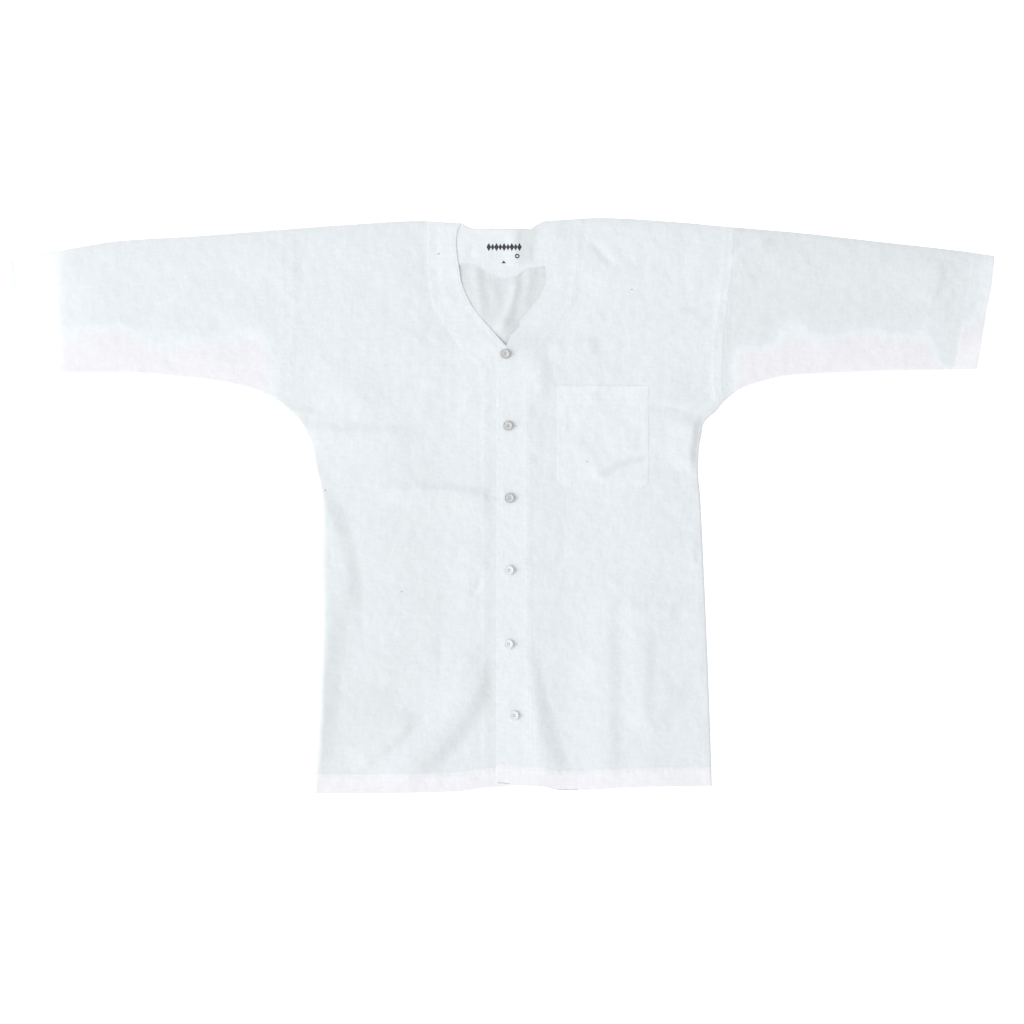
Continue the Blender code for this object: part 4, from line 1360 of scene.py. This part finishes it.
def front_rows(side):
    """A front's stitches: along its band, its hem, its free edge and both edges of its felled seam."""
    out, bottom = OUTWARD[side], float(hem[side](band[side](0))) + 1
    hem_start = float(neck[side](NEAR_HEM)) + out * (SIDE_GAP + 1)
    hem_end = float(body_side[side](NEAR_HEM)) - out * SIDE_GAP
    edge_start = bottom if side == "left" else RIGHT_EDGE_START
    rows = [
        upright_row(lambda y: band[side](y) - out * BAND_STITCH, bottom, BAND_END),
        level_row(lambda x: hem[side](x) + HEM_STITCH, hem_start, hem_end),
        upright_row(lambda y: neck[side](y) + out * EDGE_STITCH, edge_start, EDGE_END),
    ]
    for place in FELL_STITCHES:
        rows.append(upright_row(lambda y: armhole[side](y) - out * place, UNDERARM[side] + 4, FELL_END))
    return [(*row, lambda x, y: front_skin(side, x, y)) for row in rows]


def cuff_row(side):
    row = upright_row(lambda y: cuff[side](y) - OUTWARD[side] * CUFF_STITCH, *CUFF_ENDS)
    return (*row, lambda x, y: upper_skin(x, y) + CUFF_RAISE)


sewn("front_stitches", front_rows("right") + front_rows("left"), thread_cotton)
sewn("cuff_stitches", [cuff_row(side) for side in OUTWARD], thread_cotton)
facing_row = level_row(lambda x: facing_bottom(x) + FACING_STITCH, *FACING_ENDS)
sewn("facing_stitches", [(*facing_row, facing_skin)], thread_cotton)

# %% The pocket's stitches
MOUTH_GAP, CORNER_POINTS = 1.5, 8


def pocket_outline():
    """The pocket's stitch line, down one side, round the corners and up the other side."""
    inner, outer = POCKET_INNER + POCKET_STITCH, POCKET_OUTER - POCKET_STITCH
    low = POCKET_BOTTOM + POCKET_STITCH
    turns = np.linspace(0, 0.5 * math.pi, CORNER_POINTS)
    first, last = POCKET_CURVE_INNER - POCKET_STITCH, POCKET_CURVE_OUTER - POCKET_STITCH
    return np.concatenate([
        [[inner, POCKET_TOP - MOUTH_GAP]],
        np.column_stack([inner + first * (1 - np.cos(turns)), low + first * (1 - np.sin(turns))]),
        np.column_stack([outer - last * (1 - np.sin(turns)), low + last * (1 - np.cos(turns))]),
        [[outer, POCKET_TOP - MOUTH_GAP]],
    ])


mouth_line = at_height(POCKET_TOP - POCKET_HEM + POCKET_STITCH)
pocket_rows = [
    along(pocket_outline(), STITCH_PITCH),
    level_row(mouth_line, POCKET_INNER + 2 * MOUTH_GAP, POCKET_OUTER - 2 * MOUTH_GAP),
]
sewn("pocket_stitches", [(*row, pocket_skin) for row in pocket_rows], thread_cotton)

# %% [markdown]
# ## The buttons
#
# Six small pearly buttons, each turned with a raised rim and four holes, and sewn on with two bars
# of thread. The upper three are darker. Each rim has a darker pearl, partly its own colour and
# partly painted shade at the button's edge. One is turned from a cylinder, as on a lathe, drilled
# by booleans, and the others are its copies.

# %% Pearl
CLOUDS, CLOUD_START, CLOUD_END = (260, 420, 260), 0.35, 0.68
PEARL_COAT = {"Coat Weight": 0.25, "Coat Roughness": 0.2}


def pearl(name, dark, light):
    """Mother-of-pearl plastic, clouded between two colours."""
    material = plain_material(name, light, 0.35)
    tree = material.node_tree
    shader = tree.nodes["Principled BSDF"]
    clouds = noise(tree, object_place(tree), CLOUDS, 2.0, 0.6)
    colour = colour_ramp(tree, clouds, [(CLOUD_START, dark), (CLOUD_END, light)])
    tree.links.new(colour, shader.inputs["Base Color"])
    for socket, value in PEARL_COAT.items():
        shader.inputs[socket].default_value = value
    return material


GREY_PEARL = [
    pearl("grey_pearl", (0.54, 0.56, 0.55), (0.68, 0.70, 0.69)),
    pearl("grey_pearl_rim", (0.38, 0.39, 0.39), (0.50, 0.51, 0.51)),
]
PALE_PEARL = [
    pearl("pale_pearl", (0.74, 0.79, 0.79), (0.80, 0.85, 0.84)),
    pearl("pale_pearl_rim", (0.72, 0.77, 0.78), (0.78, 0.83, 0.83)),
]
print("pearls", [material.name for material in GREY_PEARL + PALE_PEARL])

# %% One button
HOLE_RADIUS, HOLE_PLACE = 0.6 * MM, 1.35 * MM
FACE_STEPS, BACK_STEP = ((0.16, 0.0), (0.12, 0.12), (0.10, 0.05)), 0.12
SOFT_EDGE = 0.28 * MM


def select_faces(mesh, test):
    """Selects the faces of the mesh in edit mode whose middle and normal pass a test."""
    bpy.ops.mesh.select_mode(type="FACE")
    bpy.ops.mesh.select_all(action="DESELECT")
    shape = bmesh.from_edit_mesh(mesh)
    for face in shape.faces:
        if test(face.calc_center_median(), face.normal):
            face.select_set(True)
    bmesh.update_edit_mesh(mesh)


def model_button(radius, height):
    """A button that stands on z = 0: a disc with a stepped rim, a dished middle and four holes."""
    bpy.ops.object.select_all(action="DESELECT")
    at = (0, 0, 0.5 * height)
    bpy.ops.mesh.primitive_cylinder_add(vertices=40, radius=radius, depth=height, location=at)
    button = bpy.context.object
    bpy.ops.object.transform_apply(location=True, rotation=True, scale=True)
    bpy.ops.object.mode_set(mode="EDIT")
    select_faces(button.data, lambda middle, normal: normal.z > 0.9)
    for width, drop in FACE_STEPS:
        bpy.ops.mesh.inset(thickness=width * radius, depth=-drop * height)
    select_faces(button.data, lambda middle, normal: normal.z < -0.9)
    bpy.ops.mesh.inset(thickness=BACK_STEP * radius, depth=0)
    bpy.ops.object.mode_set(mode="OBJECT")
    soft = button.modifiers.new("soft_edges", "BEVEL")
    soft.width, soft.segments, soft.angle_limit = SOFT_EDGE, 2, math.radians(25)
    bpy.ops.object.modifier_apply(modifier=soft.name)
    for turn in (math.radians(degrees) for degrees in (45, 135, 225, 315)):
        at = (HOLE_PLACE * math.cos(turn), HOLE_PLACE * math.sin(turn), 0.5 * height)
        bpy.ops.object.select_all(action="DESELECT")
        bpy.ops.mesh.primitive_cylinder_add(vertices=14, radius=HOLE_RADIUS, depth=3 * height, location=at)
        drill = bpy.context.object
        bpy.context.view_layer.objects.active = button
        hole = button.modifiers.new("hole", "BOOLEAN")
        hole.operation, hole.object = "DIFFERENCE", drill
        bpy.ops.object.modifier_apply(modifier=hole.name)
        bpy.data.objects.remove(drill)
    bpy.ops.object.select_all(action="DESELECT")
    button.select_set(True)
    bpy.ops.object.shade_smooth_by_angle(angle=math.radians(35))
    return button


BUTTON_NODES = [f"button_{number}" for number in range(1, 7)]
boxes = [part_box(node) for node in BUTTON_NODES]
first_low, first_high = (np.array(corner) for corner in boxes[0])
button_size = first_high - first_low
master = model_button(0.5 * float(button_size[0]), float(button_size[2]))
print("button size in mm", (button_size / MM).round(2))

# %% Six buttons, sewn on
GREY_BUTTONS, RIM = 3, 0.78
THREAD_PLACE, THREAD_SIZES = 0.62, (1.15, 2.3, 1.6)
thread_rows = []
for node, (low, high) in zip(BUTTON_NODES, boxes):
    middle = 0.5 * (np.array(low) + np.array(high))
    piece = master.copy()
    piece.data = master.data.copy()
    piece.name = piece.data.name = f"{node}_pearl"
    bpy.context.collection.objects.link(piece)
    piece.data.transform(Matrix.Translation((middle[0], middle[1], low[2])))
    piece.data.materials.clear()
    for material in GREY_PEARL if BUTTON_NODES.index(node) < GREY_BUTTONS else PALE_PEARL:
        piece.data.materials.append(material)
    # The rim faces get the darker pearl, partly painted shade at the button's edge.
    for face in piece.data.polygons:
        from_middle = math.hypot(face.center.x - middle[0], face.center.y - middle[1])
        face.material_index = int(from_middle > 0.5 * RIM * button_size[0])
    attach(piece, "root")
    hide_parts(node)
    lift = (low[2] + THREAD_PLACE * button_size[2]) / MM
    for place in (-1, 1):
        across = (middle[0] + HOLE_PLACE * math.sqrt(0.5) * place) / MM
        thread_rows.append((np.array([[across, middle[1] / MM]]), np.array([[0.0, 1.0]]), at_height(lift)))
bpy.data.objects.remove(master)
sewn("button_thread", thread_rows, thread_cotton, sizes=THREAD_SIZES)

# %% [markdown]
# ## The buttonholes
#
# Each buttonhole is a slit that runs outwards from its button, edged on both sides with close
# stitches and barred at its ends. The slit is shut under its button, so only its edging is made,
# of the same grains of thread, turned across the slit.

# %% Buttonholes
HOLE_START, HOLE_END, EDGING_PITCH, EDGING_OUT = -2.0, 11.5, 0.62, 0.75
EDGING_LIFT, BAR_LIFT, BAR_HALF, BAR_STITCHES = 0.1, 0.15, 1.2, 4
EDGING_SIZES = (0.62, 0.95, 1.0)


def above_front(lift):
    """A height function a little above the left front."""
    return lambda x, y: front_skin("left", x, y) + lift


edging_rows = []
for low, high in boxes:
    middle = 0.5 * (np.array(low) + np.array(high)) / MM
    at = np.arange(HOLE_START, HOLE_END, EDGING_PITCH)
    for place in (-1, 1):
        points = np.column_stack([middle[0] + at, np.full_like(at, middle[1] + place * EDGING_OUT)])
        edging_rows.append((points, np.tile([0.0, 1.0], (len(at), 1)), above_front(EDGING_LIFT)))
    for end in (HOLE_START, HOLE_END):
        heights = middle[1] + np.linspace(-BAR_HALF, BAR_HALF, BAR_STITCHES)
        points = np.column_stack([np.full(BAR_STITCHES, middle[0] + end), heights])
        edging_rows.append((points, np.tile([1.0, 0.0], (BAR_STITCHES, 1)), above_front(BAR_LIFT)))
sewn("buttonhole_stitches", edging_rows, thread_cotton, sizes=EDGING_SIZES)

# %% [markdown]
# ## Natural specks
#
# Slubby cotton keeps a few darker bits of seed coat. Noise would scatter them anywhere, and these
# have their places, so each speck is a tuft of three short fibres caught in the weave at a listed place.

# %% Specks
Speck = namedtuple("Speck", "across height spread")
SPECKS = [
    Speck(-82.0, 324.2, 2.4), Speck(-81.4, 325.4, 1.2), Speck(109.7, 57.1, 1.6),
    Speck(-129.4, -110.6, 1.4), Speck(167.2, 278.7, 1.4), Speck(-227.7, 20.3, 1.6),
]
Fibre = namedtuple("Fibre", "turn aside")
TUFT = [Fibre(0.6, -0.35), Fibre(-0.7, 0.35), Fibre(1.5, 0.1)]
SPECK_LIFT, SPECK_SIZES = 0.1, (0.75, 0.9, 0.7)
speck_fibre = plain_material("seed_coat", (0.16, 0.15, 0.14), 0.8)


def speck_skin(x, y):
    on_pocket = (inside_pocket(x, y) > 0) & (y < POCKET_TOP)
    skins = np.where(x < 0, front_skin("right", x, y), front_skin("left", x, y))
    return np.where(on_pocket, pocket_skin(x, y), skins) + SPECK_LIFT


speck_rows = []
for speck in SPECKS:
    for fibre in TUFT:
        across = speck.across + fibre.aside * speck.spread
        height = speck.height - 0.1 * fibre.turn * speck.spread
        direction = np.array([[math.cos(fibre.turn), math.sin(fibre.turn)]])
        speck_rows.append((np.array([[across, height]]), direction, speck_skin))
sewn("natural_specks", speck_rows, speck_fibre, sizes=SPECK_SIZES)

# %% [markdown]
# ## Shade under the hem
#
# At two places the left front's hem stands off the back's, and the gap shows as a thin dark line.
# So narrow a gap would vanish in the picture, so a line of dark grains follows the hem there.

# %% Hem shade
HemShade = namedtuple("HemShade", "start end above")
HEM_SHADES = [HemShade(-6, 11, 1.2), HemShade(71, 99, 0.7)]
SHADE_PITCH, SHADE_POINTS, SHADE_LIFT, SHADE_SIZES = 1.8, 60, 0.1, (1.0, 1.4, 1.0)
shaded_cotton = plain_material("shaded_cotton", (0.30, 0.31, 0.30), 0.9)
shade_rows = []
for shade in HEM_SHADES:
    line = level(lambda x: hem["left"](x) + shade.above, shade.start, shade.end, SHADE_POINTS)
    shade_rows.append((*along(line, SHADE_PITCH), above_front(SHADE_LIFT)))
sewn("hem_shade", shade_rows, shaded_cotton, sizes=SHADE_SIZES)

# %% [markdown]
# ## A plain ornament on the facing
#
# A neck facing often carries a small print. Here it is a plain row of diamonds over a ring and a
# triangle, in black ink, and it stands for nothing. Each mark is a flat face cut from a circle and
# laid on the facing's own height. The ink is worn a little, so it isn't one even black.

# %% Ink
INK_GRAIN = (900, 900, 900)
ink = plain_material("black_ink", (0.02, 0.02, 0.022), 0.7)
ink_tree = ink.node_tree
worn = rise(ink_tree, noise(ink_tree, object_place(ink_tree), INK_GRAIN), 0.35, 0.75)
ink_colour = colour_ramp(ink_tree, worn, [(0.0, (0.012, 0.012, 0.014)), (1.0, (0.10, 0.10, 0.105))])
ink_tree.links.new(ink_colour, ink_tree.nodes["Principled BSDF"].inputs["Base Color"])
print("ink", ink.name)

# %% Facing ornament
Mark = namedtuple("Mark", "corners radius x y stretch hole", defaults=(0.0,))
DIAMONDS, DIAMOND_RADII, DIAMOND_STRETCH = 9, (5.3, 4.4), 0.56
ROW_LEFT, ROW_RIGHT, ROW_HEIGHT = -17.0, 22.5, 333.5
RING = Mark(20, 3.0, 19.6, 321.8, 1.1, 1.5)
TRIANGLE = Mark(3, 2.4, 2.2, 313.8, 1.4)
INK_LIFT = 0.06


def printed(mark):
    """A flat printed mark with so many corners, perhaps with an open middle."""
    bpy.ops.object.select_all(action="DESELECT")
    bpy.ops.mesh.primitive_circle_add(vertices=mark.corners, radius=mark.radius * MM, fill_type="NGON")
    print_face = bpy.context.object
    bpy.ops.object.mode_set(mode="EDIT")
    bpy.ops.mesh.select_all(action="SELECT")
    if mark.hole:
        bpy.ops.mesh.inset(thickness=(mark.radius - mark.hole) * MM, depth=0)
        bpy.ops.mesh.delete(type="FACE")
    else:
        bpy.ops.mesh.quads_convert_to_tris()
        bpy.ops.mesh.subdivide(number_cuts=3)
    bpy.ops.transform.resize(value=(mark.stretch, 1, 1))
    bpy.ops.object.mode_set(mode="OBJECT")
    print_face.location = (mark.x * MM, mark.y * MM, 0)
    bpy.ops.object.transform_apply(location=True, rotation=True, scale=True)
    return print_face


MARKS = [
    Mark(4, DIAMOND_RADII[number % 2], x, ROW_HEIGHT, DIAMOND_STRETCH)
    for number, x in enumerate(np.linspace(ROW_LEFT, ROW_RIGHT, DIAMONDS))
]
print_faces = [printed(mark) for mark in (*MARKS, RING, TRIANGLE)]
bpy.ops.object.select_all(action="DESELECT")
for print_face in print_faces:
    print_face.select_set(True)
bpy.context.view_layer.objects.active = print_faces[0]
bpy.ops.object.join()
ornament = bpy.context.object
ornament.name = ornament.data.name = "facing_ornament"
ink_points = np.array([vertex.co for vertex in ornament.data.vertices])
ink_points[:, 2] = (facing_skin(ink_points[:, 0] / MM, ink_points[:, 1] / MM) + INK_LIFT) * MM
ornament.data.vertices.foreach_set("co", ink_points.astype(np.float32).ravel())
ornament.data.materials.clear()
ornament.data.materials.append(ink)
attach(ornament, "root")
print("ornament faces", len(ornament.data.polygons))

# %% [markdown]
# ## Measure and finish
#
# The dressed shirt's box is printed. The dressed shirt has to fill the frame's own box.

# %% Finish
low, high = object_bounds()
print("visual box in mm", [round(value / MM, 1) for value in (*low, *high)])
